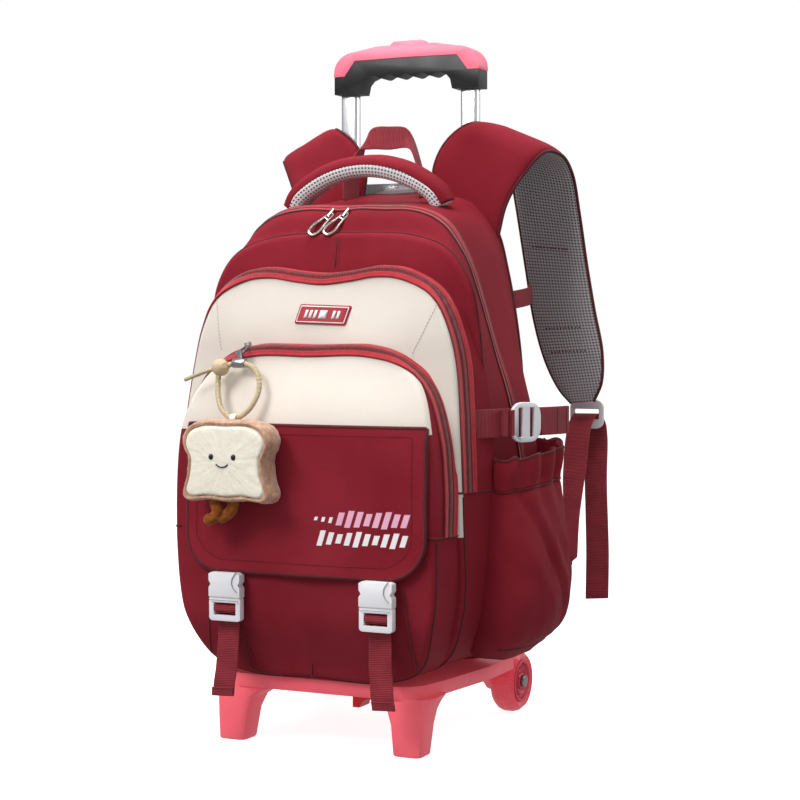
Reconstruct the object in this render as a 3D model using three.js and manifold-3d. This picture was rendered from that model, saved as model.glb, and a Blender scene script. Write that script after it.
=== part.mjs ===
// A child's wheeled school backpack: a soft bag in layers, standing on a plastic tray with two
// front feet and two rear wheels, with a telescopic pull handle behind it.
// Millimetres, +Z up, the bag's front faces -Y, and +X is on the right seen from the front.
// The parts are laid out round the line midway between the two pull tubes, with the floor at
// z = 0. At the end the whole group is moved so that the origin is the middle of its footprint.
import * as THREE from "three";
import { mergeVertices } from "three/addons/utils/BufferGeometryUtils.js";
import Module from "manifold-3d";

const wasm = await Module();
wasm.setup();

// Clearances
const seatGap = 0.3; // between pieces that touch on the real bag
const slideGap = 0.5; // between a sliding piece and its guide, on each side
const spinGap = 0.4; // between a wheel and its axle

// Wheels and tray
const wheelRadius = 29.5;
const wheelWidth = 24;
const wheelTrack = 190;
const wheelBehindTubes = 28;
const hubRadius = 20;
const axleRadius = 4;
const trayTop = 60;
const trayThickness = 12;
const trayHalfWidth = 112;
const trayFront = 193; // from the tubes to the tray's front edge
const trayBack = 10; // from the tubes to the tray's straight back edge, forward
const footSpread = 172; // between the middles of the two feet
const footSetback = 10; // of the feet behind the tray's front edge
const footWidth = 27;
const footDepth = 27;

// Pull handle
const tubeSpacing = 126;
const tubeWidth = 18;
const tubeDepth = 12;
const tubeWall = 1.4;
const innerTubeBottom = 135;
const collarTop = 511;
const collarHeight = 22;
const handleTop = 638;
const gripHeight = 44; // from the feet of the handle's legs to its top
const gripBottom = handleTop - gripHeight;
const gripHalfWidth = 75.5;
const gripDepth = 22;
const legWidth = 29; // a leg of the handle, round its tube
const gripBarHeight = 18;
const gripBarTop = handleTop - 17;
const buttonWidth = 38;
const buttonDepth = 13;
const buttonRise = 4.5;

// Bag
const bagBottom = 61.4;
const bagHeight = 433;
const bagDepth = 210; // from the back panel to the front of the lower pocket
const backPanelAt = 12; // the back panel is this far in front of the tubes' line
const bagHalfWidth = 148; // at its widest, round the main compartment
const backHalfWidth = 126;
const mainFaceHalfWidth = 140;
const upperHalfWidth = 141;
const lowerHalfWidth = 131;
const mainTop = 476; // top of the main zip
const mainFaceTop = 453;
const upperTop = 421;
const lowerTop = 352;
const clothWall = 2.4;
const zipWidth = 10;
const mainZipEnd = 250; // height at which the main zip ends on each side
const upperZipEnd = 226;
const lowerZipEnd = 190;
const loopPoints = 24; // points round each outline of the bag
const faceCrown = 9; // how far a stuffed panel stands out at its middle

// Flap, badge and buckles
const flapTop = 284;
const flapBottom = 156;
const flapHalfWidth = 117;
const flapShift = 4; // the flap sits a little to the right of the middle
const flapCorner = 34;
const flapWall = 3;
const badgeWidth = 50;
const badgeHeight = 17;
const badgeSlant = 4;
const badgeThickness = 1.6;
const badgeHeightAt = 380;
const buckleSpread = 146;
const buckleShift = 3;
const buckleWidth = 31;
const buckleTop = 158;
const socketLength = 27;
const frameLength = 21;
const buckleThickness = 9;
const webbingWidth = 22;
const webbingThickness = 1.6;
const frontTailEnd = 46;

// Side pockets and side straps
const pocketBottom = 82;
const pocketTop = 260;
const pocketBulge = 42;
const pocketHalfLength = 56;
const pocketMiddle = 78; // in front of the tubes
const gatherDepth = 2.2;
const sideStrapHeight = 286;
const sideStrapWidth = 25;
const sliderWidth = 36;
const sliderHeight = 35;
const sliderThickness = 3.2;
const sliderStandOff = 0.8; // of the slider from its curved strap

// Top handle, hanging loop and shoulder straps
const grabHalfWidth = 76;
const grabTop = 526;
const grabFoot = 479;
const grabAt = 92; // in front of the tubes
const grabThickness = 19;
const grabHeight = 27;
const strapThickness = 11;
const adjusterWidth = 34;
const tailEnd = 106;

// Charm
const charmAt = -57;
const charmFront = 258;
const charmTop = 289;
const charmWidth = 87;
const charmHeight = 70;
const charmThickness = 28;
const legDiameter = 10;
const cordDiameter = 4.6;
const beadRadius = 8;

// Zip sliders and pulls
const sliderLift = 0.5; // above the tape
const mainPullLength = 28;
const mainPullDroop = -0.26; // radians, from lying level with the cloth
const sidePullLength = 64;

// Colours, roughness and metalness
const wineCloth = new THREE.MeshStandardMaterial({ color: 0x7d2430, roughness: 0.7, name: "wine_cloth" });
const creamCloth = new THREE.MeshStandardMaterial({ color: 0xe9dfd6, roughness: 0.75, name: "cream_cloth" });
const redZip = new THREE.MeshStandardMaterial({ color: 0xb01328, roughness: 0.6, name: "red_zip" });
const webbing = new THREE.MeshStandardMaterial({ color: 0x93313c, roughness: 0.7, name: "webbing" });
const greyMesh = new THREE.MeshStandardMaterial({ color: 0xa39da0, roughness: 0.9, name: "grey_mesh" });
const pinkPlastic = new THREE.MeshStandardMaterial({ color: 0xff6f7d, roughness: 0.4, name: "pink_plastic" });
const blackPlastic = new THREE.MeshStandardMaterial({ color: 0x0b0b0c, roughness: 0.5, name: "black_plastic" });
const whitePlastic = new THREE.MeshStandardMaterial({ color: 0xefecf2, roughness: 0.4, name: "white_plastic" });
const aluminium = new THREE.MeshStandardMaterial({
  color: 0xd9dadc, roughness: 0.3, metalness: 1, name: "aluminium",
});
const zipMetal = new THREE.MeshStandardMaterial({
  color: 0xc9c6bf, roughness: 0.2, metalness: 1, name: "zip_metal",
});
const clearTyre = new THREE.MeshStandardMaterial({ color: 0xd0556a, roughness: 0.15, name: "clear_tyre" });
const creamPlush = new THREE.MeshStandardMaterial({ color: 0xfaf6e4, roughness: 0.95, name: "cream_plush" });
const brownPlush = new THREE.MeshStandardMaterial({ color: 0x8b4a16, roughness: 0.95, name: "brown_plush" });
const cordFibre = new THREE.MeshStandardMaterial({ color: 0xd9c99c, roughness: 0.85, name: "cord_fibre" });

const root = new THREE.Group();

function addPiece(name, geometry, material) {
  const mesh = new THREE.Mesh(geometry, material);
  mesh.name = name;
  root.add(mesh);
  return mesh;
}

// Solids for cutting and joining

function manifoldOf(geometry) {
  const bare = new THREE.BufferGeometry();
  bare.setAttribute("position", geometry.getAttribute("position"));
  if (geometry.index) bare.setIndex(geometry.index);
  const merged = mergeVertices(bare, 1e-4);
  return new wasm.Manifold(new wasm.Mesh({
    numProp: 3,
    vertProperties: new Float32Array(merged.attributes.position.array),
    triVerts: new Uint32Array(merged.index.array),
  }));
}

function geometryOf(solid) {
  const mesh = solid.getMesh();
  const positions = new Float32Array(mesh.numVert * 3);
  for (let i = 0; i < mesh.numVert; i++) {
    positions.set(mesh.vertProperties.subarray(i * mesh.numProp, i * mesh.numProp + 3), i * 3);
  }
  const geometry = new THREE.BufferGeometry();
  geometry.setAttribute("position", new THREE.BufferAttribute(positions, 3));
  geometry.setIndex(new THREE.BufferAttribute(mesh.triVerts, 1));
  return geometry;
}

function signedVolume(positions, faces) {
  let sum = 0;
  for (const [a, b, c] of faces) {
    const [ax, ay, az] = positions[a];
    const [bx, by, bz] = positions[b];
    const [cx, cy, cz] = positions[c];
    sum += ax * (by * cz - bz * cy) + ay * (bz * cx - bx * cz) + az * (bx * cy - by * cx);
  }
  return sum / 6;
}

function geometryFrom(positions, faces) {
  const outward = signedVolume(positions, faces) > 0;
  const geometry = new THREE.BufferGeometry();
  geometry.setAttribute("position", new THREE.Float32BufferAttribute(positions.flat(), 3));
  geometry.setIndex(faces.flatMap(([a, b, c]) => (outward ? [a, b, c] : [a, c, b])));
  return geometry;
}

function centreOf(ring) {
  const sum = [0, 0, 0];
  for (const point of ring) for (let k = 0; k < 3; k++) sum[k] += point[k] / ring.length;
  return sum;
}

// A closed solid through rings of equally many points, closed by a fan at each end.
function loft(rings) {
  const positions = rings.flat();
  const n = rings[0].length;
  const faces = [];
  for (let i = 0; i + 1 < rings.length; i++) {
    for (let j = 0; j < n; j++) {
      const a = i * n + j;
      const b = i * n + (j + 1) % n;
      faces.push([a, b, b + n], [a, b + n, a + n]);
    }
  }
  const first = positions.push(centreOf(rings[0])) - 1;
  const last = positions.push(centreOf(rings[rings.length - 1])) - 1;
  const top = (rings.length - 1) * n;
  for (let j = 0; j < n; j++) {
    const k = (j + 1) % n;
    faces.push([first, k, j], [last, top + j, top + k]);
  }
  return geometryFrom(positions, faces);
}

// The same solid drawn in by a wall's thickness along its surface normals.
function drawnIn(geometry, wall) {
  const inner = geometry.clone();
  inner.computeVertexNormals();
  const at = inner.getAttribute("position");
  const normal = inner.getAttribute("normal");
  for (let i = 0; i < at.count; i++) {
    at.setXYZ(i, at.getX(i) - wall * normal.getX(i), at.getY(i) - wall * normal.getY(i),
      at.getZ(i) - wall * normal.getZ(i));
  }
  return inner;
}

// A block whose outline is drawn in the YZ plane as [y, z] corners, and which runs across all of X.
function sideBlock(corners, reach = 2 * bagHalfWidth) {
  const near = corners.map(([y, z]) => [-reach, y, z]);
  const far = corners.map(([y, z]) => [reach, y, z]);
  const shape = corners.map(([y, z]) => new THREE.Vector2(y, z));
  const caps = THREE.ShapeUtils.triangulateShape(shape, []);
  const n = corners.length;
  const faces = [];
  const turn = THREE.ShapeUtils.area(shape) > 0 ? 1 : -1;
  for (const [a, b, c] of caps) faces.push([a, c, b], [a + n, b + n, c + n]);
  for (let j = 0; j < n; j++) {
    const k = (j + 1) % n;
    if (turn > 0) faces.push([j, k, k + n], [j, k + n, j + n]);
    else faces.push([j, k + n, k], [j, j + n, k + n]);
  }
  return manifoldOf(geometryFrom([...near, ...far], faces));
}

function boxSolid(x0, x1, y0, y1, z0, z1) {
  const geometry = new THREE.BoxGeometry(x1 - x0, y1 - y0, z1 - z0);
  geometry.translate((x0 + x1) / 2, (y0 + y1) / 2, (z0 + z1) / 2);
  return manifoldOf(geometry);
}

// A bar of round-cornered section, width along X and depth along Y, standing from low to high.
function roundedBar(width, depth, corner, low, high, sides = 2) {
  const w = width / 2;
  const d = depth / 2;
  const shape = new THREE.Shape();
  shape.moveTo(-w + corner, -d);
  shape.lineTo(w - corner, -d);
  shape.absarc(w - corner, -d + corner, corner, -Math.PI / 2, 0, false);
  shape.lineTo(w, d - corner);
  shape.absarc(w - corner, d - corner, corner, 0, Math.PI / 2, false);
  shape.lineTo(-w + corner, d);
  shape.absarc(-w + corner, d - corner, corner, Math.PI / 2, Math.PI, false);
  shape.lineTo(-w, -d + corner);
  shape.absarc(-w + corner, -d + corner, corner, Math.PI, 1.5 * Math.PI, false);
  const geometry = new THREE.ExtrudeGeometry(shape, {
    depth: high - low, bevelEnabled: false, curveSegments: sides,
  });
  geometry.translate(0, 0, low);
  return geometry;
}

function cylinderAlongX(radius, x0, x1, y, z, sides = 28) {
  const geometry = new THREE.CylinderGeometry(radius, radius, x1 - x0, sides);
  geometry.rotateZ(Math.PI / 2);
  geometry.translate((x0 + x1) / 2, y, z);
  return geometry;
}

// A closed curve through a half outline given as shares [across, up] from bottom middle to top middle.
function outlinePoints(rows, halfWidth, low, high, count = loopPoints) {
  const right = rows.map((row) => new THREE.Vector3(row.across * halfWidth, 0, low + row.up * (high - low)));
  const left = right.slice(1, -1).reverse().map((p) => new THREE.Vector3(-p.x, 0, p.z));
  const curve = new THREE.CatmullRomCurve3([...right, ...left], true, "centripetal");
  return curve.getSpacedPoints(count).slice(0, count).map((p) => [p.x, p.z]);
}

// A smooth value between the rows of a table, by height share.
function tableValue(rows, column, share) {
  const known = rows.filter((row) => row[column] !== undefined);
  if (share <= known[0].height) return known[0][column];
  for (let i = 0; i + 1 < known.length; i++) {
    const a = known[i];
    const b = known[i + 1];
    if (share <= b.height) {
      const t = (share - a.height) / (b.height - a.height);
      return a[column] + (b[column] - a[column]) * t * t * (3 - 2 * t);
    }
  }
  return known[known.length - 1][column];
}

// How far each layer's edge lies in front of the back panel, as a share of the bag's depth.
const depthRows = [
  { height: 0.0, zip: 0.276, face: 0.505, upper: 0.73, lower: 0.9 },
  { height: 0.14, zip: 0.29, face: 0.56, upper: 0.79, lower: 0.98 },
  { height: 0.49, zip: 0.31, face: 0.635, upper: 0.83, lower: 0.975 },
  { height: 0.67, zip: 0.43, face: 0.655, upper: 0.8, lower: 0.89 },
  { height: 0.83, zip: 0.52, face: 0.675, upper: 0.775, lower: 0.87 },
  { height: 0.92, zip: 0.56, face: 0.665, upper: 0.755, lower: 0.87 },
  { height: 1.0, zip: 0.585, face: 0.65, upper: 0.74, lower: 0.87 },
];

function layerY(column, z) {
  const share = (z - bagBottom) / bagHeight;
  return -backPanelAt - bagDepth * tableValue(depthRows, column, share);
}

// Outlines of the layers seen from the front, as shares of each layer's half width and height.
const waistRows = [
  { across: 0, up: 0 }, { across: 0.45, up: 0 }, { across: 0.74, up: 0.022 }, { across: 0.92, up: 0.1 },
  { across: 0.985, up: 0.24 }, { across: 1, up: 0.42 }, { across: 0.965, up: 0.57 },
  { across: 0.9, up: 0.68 }, { across: 0.83, up: 0.8 }, { across: 0.75, up: 0.9 },
  { across: 0.63, up: 0.965 }, { across: 0.42, up: 0.995 }, { across: 0, up: 1 },
];
const backRows = [
  { across: 0, up: 0 }, { across: 0.5, up: 0 }, { across: 0.84, up: 0.04 }, { across: 0.98, up: 0.14 },
  { across: 1, up: 0.35 }, { across: 0.985, up: 0.55 }, { across: 0.95, up: 0.68 },
  { across: 0.86, up: 0.83 }, { across: 0.77, up: 0.92 }, { across: 0.6, up: 0.98 },
  { across: 0.35, up: 1 }, { across: 0, up: 1 },
];
const faceRows = [
  { across: 0, up: 0 }, { across: 0.5, up: 0 }, { across: 0.8, up: 0.035 }, { across: 0.95, up: 0.13 },
  { across: 1, up: 0.35 }, { across: 0.98, up: 0.62 }, { across: 0.95, up: 0.78 },
  { across: 0.9, up: 0.88 }, { across: 0.76, up: 0.955 }, { across: 0.52, up: 0.99 }, { across: 0, up: 1 },
];
const upperRows = [
  { across: 0, up: 0 }, { across: 0.5, up: 0 }, { across: 0.8, up: 0.04 }, { across: 0.96, up: 0.15 },
  { across: 1, up: 0.42 }, { across: 0.98, up: 0.66 }, { across: 0.9, up: 0.84 },
  { across: 0.78, up: 0.94 }, { across: 0.58, up: 0.99 }, { across: 0.4, up: 1 },
  { across: 0.2, up: 0.99 }, { across: 0, up: 0.983 },
];
const lowerRows = [
  { across: 0, up: 0 }, { across: 0.5, up: 0 }, { across: 0.8, up: 0.045 }, { across: 0.95, up: 0.18 },
  { across: 1, up: 0.42 }, { across: 0.97, up: 0.73 }, { across: 0.86, up: 0.88 },
  { across: 0.67, up: 0.965 }, { across: 0.45, up: 0.998 }, { across: 0, up: 1 },
];

const waistOutline = outlinePoints(waistRows, bagHalfWidth, bagBottom, mainTop + 8);
const zipOutline = outlinePoints(waistRows, bagHalfWidth * 0.985, bagBottom + 1, mainTop);
const backOutline = outlinePoints(backRows, backHalfWidth, bagBottom + 4, bagBottom + bagHeight);
const faceOutline = outlinePoints(faceRows, mainFaceHalfWidth, bagBottom + 5, mainFaceTop);
const upperOutline = outlinePoints(upperRows, upperHalfWidth, bagBottom + 3, upperTop);
const lowerOutline = outlinePoints(lowerRows, lowerHalfWidth, bagBottom + 1.5, lowerTop);

// A ring of an outline: pulled in towards its middle by an inset, at a depth given for each height.
function ringAt(outline, inset, depthAt, share = 1) {
  const cz = (Math.min(...outline.map((p) => p[1])) + Math.max(...outline.map((p) => p[1]))) / 2;
  return outline.map(([x, z]) => {
    const r = Math.hypot(x, z - cz);
    const k = share * (1 - inset / r);
    const px = x * k;
    const pz = cz + (z - cz) * k;
    return [px, depthAt(pz), pz];
  });
}

function blendRings(a, b, t) {
  return a.map((p, i) => p.map((v, k) => v + (b[i][k] - v) * t));
}

// The panel inside an outline: rings that shrink to the middle while the panel stands out.
function crownedRings(outline, edge, crown, shares) {
  return shares.map((share) => ringAt(outline, 0, (z) => edge(z) - crown * (1 - share ** 2.2), share));
}

// Main compartment as a full solid, from the back panel's middle to the front panel's middle.
function mainCompartment() {
  const backRing = ringAt(backOutline, 0, () => -backPanelAt - 9);
  const zipRing = ringAt(zipOutline, 0, (z) => layerY("zip", z));
  const faceRing = ringAt(faceOutline, 0, (z) => layerY("face", z) + 12);
  const waistRing = ringAt(waistOutline, 0, (z) => (layerY("zip", z) - backPanelAt) / 2);
  const backFace = [0.02, 0.5, 0.93].map((share) => ringAt(backOutline, 0, () => -backPanelAt, share));
  return [
    ...backFace,
    ringAt(backOutline, 1.5, () => -backPanelAt - 2.5),
    backRing,
    blendRings(backRing, waistRing, 0.6),
    waistRing,
    blendRings(waistRing, zipRing, 0.55),
    zipRing,
    blendRings(zipRing, faceRing, 0.55),
    faceRing,
    ringAt(faceOutline, 1, (z) => layerY("face", z) + 4),
    ringAt(faceOutline, 4, (z) => layerY("face", z)),
    ...crownedRings(faceOutline, (z) => layerY("face", z) - 1, faceCrown, [0.93, 0.7, 0.35, 0.03]),
  ];
}

// A pocket that stands on the layer behind it, as a full solid that reaches into that layer.
function pocketLayer(outline, behind, front, crown) {
  const back = (z) => layerY(behind, z) + 14;
  const edge = (z) => layerY(front, z);
  return [
    ringAt(outline, 6, back, 0.03),
    ringAt(outline, 6, back),
    ringAt(outline, 1.5, (z) => (back(z) + edge(z)) / 2),
    ringAt(outline, 0, (z) => edge(z) + 9),
    ringAt(outline, 1, (z) => edge(z) + 3.5),
    ringAt(outline, 4, edge),
    ...crownedRings(outline, (z) => edge(z) - 1, crown, [0.93, 0.7, 0.35, 0.03]),
  ];
}


const bag = {
  main: loft(mainCompartment()),
  upper: loft(pocketLayer(upperOutline, "face", "upper", faceCrown)),
  lower: loft(pocketLayer(lowerOutline, "upper", "lower", faceCrown - 2)),
};

function swollen(geometry, by) {
  return manifoldOf(drawnIn(geometry, -by));
}

// A layer's cloth: the full solid less a copy of it, drawn in by the wall's thickness.
function clothOf(layer) {
  return manifoldOf(bag[layer]).subtract(manifoldOf(drawnIn(bag[layer], clothWall)));
}

const farBack = 40;
const farFront = -bagDepth - 80;
const farUp = bagBottom + bagHeight + 30;
const farDown = -20;

// Corners of a line that follows a layer's edge from one height to another, moved along Y.
const edgeStep = 52;

function edgeY(column, z) {
  const low = Math.floor(z / edgeStep) * edgeStep;
  const share = (z - low) / edgeStep;
  return layerY(column, low) * (1 - share) + layerY(column, low + edgeStep) * share;
}

function edgeLine(column, low, high, shift) {
  const heights = [low];
  for (let z = (Math.floor(low / edgeStep) + 1) * edgeStep; z < high; z += edgeStep) heights.push(z);
  heights.push(high);
  return heights.map((z) => [edgeY(column, z) + shift, z]);
}

function makeMainCompartment() {
  const wall = clothOf("main");
  const half = zipWidth / 2;
  const behind = sideBlock([
    [farBack, farDown], ...edgeLine("zip", farDown, farUp, seatGap / 2), [farBack, farUp],
  ]);
  const ahead = sideBlock([
    [farFront, farDown], ...edgeLine("zip", farDown, farUp, -seatGap / 2), [farFront, farUp],
  ]);
  const slot = sideBlock([
    ...edgeLine("zip", mainZipEnd, farUp, -half), ...edgeLine("zip", mainZipEnd, farUp, half).reverse(),
  ]);
  const tapeLow = mainZipEnd + seatGap;
  const tape = sideBlock([
    ...edgeLine("zip", tapeLow, farUp, seatGap - half),
    ...edgeLine("zip", tapeLow, farUp, half - seatGap).reverse(),
  ]);
  addPiece("main_back_shell", geometryOf(wall.intersect(behind).subtract(slot)), wineCloth);
  addPiece("main_front_shell", geometryOf(wall.intersect(ahead).subtract(slot)), wineCloth);
  addPiece("main_zip", geometryOf(wall.intersect(tape)), redZip);
}

// A pocket: its zip band fills the gusset above the zip's end, and its cloth changes colour at a height.
function makePocket(name, behind, zipEnd, changeHeight) {
  const wall = clothOf(name).subtract(swollen(bag[behind], seatGap));
  const band = (trim) => sideBlock([
    ...edgeLine(name, zipEnd + trim, farUp, 2 + trim), [farBack, farUp], [farBack, zipEnd + trim],
  ]);
  const cloth = wall.subtract(band(0));
  const above = boxSolid(-2 * bagHalfWidth, 2 * bagHalfWidth, farFront, farBack, changeHeight, farUp);
  const far = 2 * bagHalfWidth;
  const below = boxSolid(-far, far, farFront, farBack, farDown, changeHeight - seatGap);
  addPiece(name + "_pocket_panel", geometryOf(cloth.intersect(above)), creamCloth);
  addPiece(name + "_pocket_base", geometryOf(cloth.intersect(below)), wineCloth);
  addPiece(name + "_zip", geometryOf(wall.intersect(band(seatGap))), redZip);
}

// A plate that lies on a curved front: a prism cut to a sheet between two swollen copies of it.
function sheetOn(geometry, outline, depthShare, gap, thickness) {
  const shape = new THREE.Shape(outline.map(([x, z]) => new THREE.Vector2(x, z)));
  const prism = new THREE.ExtrudeGeometry(shape, { depth: bagDepth, bevelEnabled: false });
  prism.rotateX(Math.PI / 2);
  prism.translate(0, -backPanelAt - bagDepth * depthShare, 0);
  return manifoldOf(prism).intersect(swollen(geometry, gap + thickness)).subtract(swollen(geometry, gap));
}

function roundedOutline(left, right, low, high, corner, steps = 6) {
  const points = [[left, high]];
  for (let i = 0; i <= steps; i++) {
    const a = Math.PI + i * Math.PI / 2 / steps;
    points.push([left + corner + corner * Math.cos(a), low + corner + corner * Math.sin(a)]);
  }
  for (let i = 0; i <= steps; i++) {
    const a = 1.5 * Math.PI + i * Math.PI / 2 / steps;
    points.push([right - corner + corner * Math.cos(a), low + corner + corner * Math.sin(a)]);
  }
  points.push([right, high]);
  return points;
}

function makeFlap() {
  const outline = roundedOutline(
    flapShift - flapHalfWidth, flapShift + flapHalfWidth, flapBottom, flapTop, flapCorner,
  );
  addPiece("flap", geometryOf(sheetOn(bag.lower, outline, 0.85, seatGap, flapWall)), wineCloth);
}

function makeBadge() {
  const w = badgeWidth / 2;
  const h = badgeHeight / 2;
  const s = badgeSlant / 2;
  const outline = [
    [-w - s, badgeHeightAt - h], [w - s, badgeHeightAt - h], [w + s, badgeHeightAt + h],
    [-w + s, badgeHeightAt + h],
  ];
  addPiece("badge", geometryOf(sheetOn(bag.upper, outline, 0.7, seatGap, badgeThickness)), webbing);
}

// Cross-sections for straps, as shares of half the width and half the thickness.
const flatSection = [[-1, -1], [1, -1], [1, 1], [-1, 1]];

function padSection(from, to, steps) {
  const points = [];
  for (let i = 0; i <= steps; i++) {
    const a = from + (to - from) * i / steps;
    const c = Math.cos(a);
    const s = Math.sin(a);
    points.push([Math.sign(c) * Math.abs(c) ** 0.55, Math.sign(s) * Math.abs(s) ** 0.8]);
  }
  return points;
}

// A strap through rows of left and right edge points, with a section across it.
function strap(rows, thickness, section, samples) {
  const left = new THREE.CatmullRomCurve3(rows.map((r) => new THREE.Vector3(...r.left)), false, "centripetal");
  const rightPoints = rows.map((r) => new THREE.Vector3(...r.right));
  const right = new THREE.CatmullRomCurve3(rightPoints, false, "centripetal");
  const rings = [];
  for (let i = 0; i <= samples; i++) {
    const t = i / samples;
    const a = left.getPoint(t);
    const b = right.getPoint(t);
    const middle = a.clone().add(b).multiplyScalar(0.5);
    const side = b.clone().sub(a).multiplyScalar(0.5);
    const along = left.getTangent(t).add(right.getTangent(t)).normalize();
    const normal = along.clone().cross(side).normalize();
    rings.push(section.map(([across, up]) => [
      middle.x + side.x * across + normal.x * up * thickness / 2,
      middle.y + side.y * across + normal.y * up * thickness / 2,
      middle.z + side.z * across + normal.z * up * thickness / 2,
    ]));
  }
  return loft(rings);
}

// Rows for a flat strip of one width: points along its middle and one direction across it.
function stripRows(points, across, width) {
  const side = new THREE.Vector3(...across).normalize().multiplyScalar(width / 2);
  return points.map((p) => ({
    left: [p[0] - side.x, p[1] - side.y, p[2] - side.z],
    right: [p[0] + side.x, p[1] + side.y, p[2] + side.z],
  }));
}

function mirrored(geometry) {
  const positions = [];
  const at = geometry.getAttribute("position");
  for (let i = 0; i < at.count; i++) positions.push([-at.getX(i), at.getY(i), at.getZ(i)]);
  const faces = [];
  for (let i = 0; i < geometry.index.count; i += 3) {
    faces.push([geometry.index.getX(i), geometry.index.getX(i + 1), geometry.index.getX(i + 2)]);
  }
  return geometryFrom(positions, faces);
}

// A right piece and its mirror image, each cut clear of the bag where it touches it.
function addPair(name, geometry, material, clear) {
  const cut = (whole) => (clear ? geometryOf(manifoldOf(whole).subtract(clear)) : whole);
  addPiece(name + "_right", cut(geometry), material);
  addPiece(name + "_left", cut(mirrored(geometry)), material);
}

// Side pockets: bulging cloth with a gathered rim, open at the top, cut to fit the bag's side.
const pocketRows = [
  { height: -0.03, bulge: 0.1, length: 0.6 }, { height: 0.03, bulge: 0.42, length: 0.8 },
  { height: 0.12, bulge: 0.8, length: 0.94 }, { height: 0.28, bulge: 1, length: 1 },
  { height: 0.55, bulge: 0.93, length: 0.98 }, { height: 0.78, bulge: 0.8, length: 0.95 },
  { height: 0.88, bulge: 0.68, length: 0.93 }, { height: 1, bulge: 0.76, length: 0.94 },
];

function pocketRing(row, steps = 12) {
  const z = pocketBottom + row.height * (pocketTop - pocketBottom);
  const reach = row.length * pocketHalfLength;
  const gather = row.height > 0.7 ? gatherDepth * (row.height > 0.82 ? 1 : 0.3) : 0;
  const ring = [];
  for (let i = 0; i <= steps; i++) {
    const a = Math.PI * (i / steps - 0.5);
    const outer = row.bulge * pocketBulge * Math.abs(Math.cos(a)) ** 0.8 + gather * Math.cos(Math.PI * i);
    ring.push([mainSideAt + outer, -pocketMiddle - reach * Math.sign(a) * Math.abs(Math.sin(a)) ** 0.85, z]);
  }
  for (const share of [0.7, 0, -0.7]) ring.push([mainSideAt - 18, -pocketMiddle - reach * share, z]);
  return ring;
}

const mainSideAt = bagHalfWidth - 5;

function makeSidePockets() {
  const rings = pocketRows.map((row) => pocketRing(row));
  const solid = loft(rings);
  const wall = clothWall * 0.85;
  const rim = rings[rings.length - 1];
  const mouth = loft([drawnRim(rim, wall, pocketTop - 8), drawnRim(rim, wall, pocketTop + 10)]);
  const inside = manifoldOf(drawnIn(solid, wall)).add(manifoldOf(mouth));
  const cloth = geometryOf(manifoldOf(solid).subtract(inside));
  addPair("side_pocket", cloth, wineCloth, swollen(bag.main, seatGap));
}

function drawnRim(ring, by, z) {
  const [cx, cy] = centreOf(ring);
  return ring.map(([x, y]) => {
    const k = 1 - by / Math.hypot(x - cx, y - cy);
    return [cx + (x - cx) * k, cy + (y - cy) * k, z];
  });
}

// A tube or bar along a curve, with a round section.
function cordAlong(points, diameter, sides, steps) {
  const curve = new THREE.CatmullRomCurve3(points.map((p) => new THREE.Vector3(...p)), false, "centripetal");
  const section = [];
  for (let i = 0; i < sides; i++) {
    const a = 2 * Math.PI * i / sides;
    section.push(new THREE.Vector2(diameter / 2 * Math.cos(a), diameter / 2 * Math.sin(a)));
  }
  const geometry = new THREE.ExtrudeGeometry(new THREE.Shape(section), {
    steps, bevelEnabled: false, extrudePath: curve,
  });
  return geometry;
}

// A plate whose outline is drawn in the XZ plane, from one Y to another, with windows cut through it.
function frontPlate(outline, y0, y1, windows = []) {
  const prism = (points, from, to) => {
    const shape = new THREE.Shape(points.map(([x, z]) => new THREE.Vector2(x, z)));
    const geometry = new THREE.ExtrudeGeometry(shape, { depth: to - from, bevelEnabled: false });
    geometry.rotateX(Math.PI / 2);
    geometry.translate(0, to, 0);
    return manifoldOf(geometry);
  };
  const whole = prism(outline, y0, y1);
  return windows.reduce((solid, window) => solid.subtract(prism(window, y0 - 1, y1 + 1)), whole);
}

function rectangle(x0, x1, z0, z1) {
  return [[x0, z0], [x1, z0], [x1, z1], [x0, z1]];
}

function rounded(x0, x1, z0, z1, corner, steps = 3) {
  const points = [];
  const centres = [
    [x1 - corner, z1 - corner, 0], [x0 + corner, z1 - corner, 1], [x0 + corner, z0 + corner, 2],
    [x1 - corner, z0 + corner, 3],
  ];
  for (const [cx, cz, quarter] of centres) {
    for (let i = 0; i <= steps; i++) {
      const a = (quarter + i / steps) * Math.PI / 2;
      points.push([cx + corner * Math.cos(a), cz + corner * Math.sin(a)]);
    }
  }
  return points;
}

// Front buckles: a side-release socket above, and below it a frame with a window for the webbing.
const buckleBack = backPanelAt + bagDepth + 4.6;
const windowHeight = 11;
const windowWidth = 22;

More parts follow.
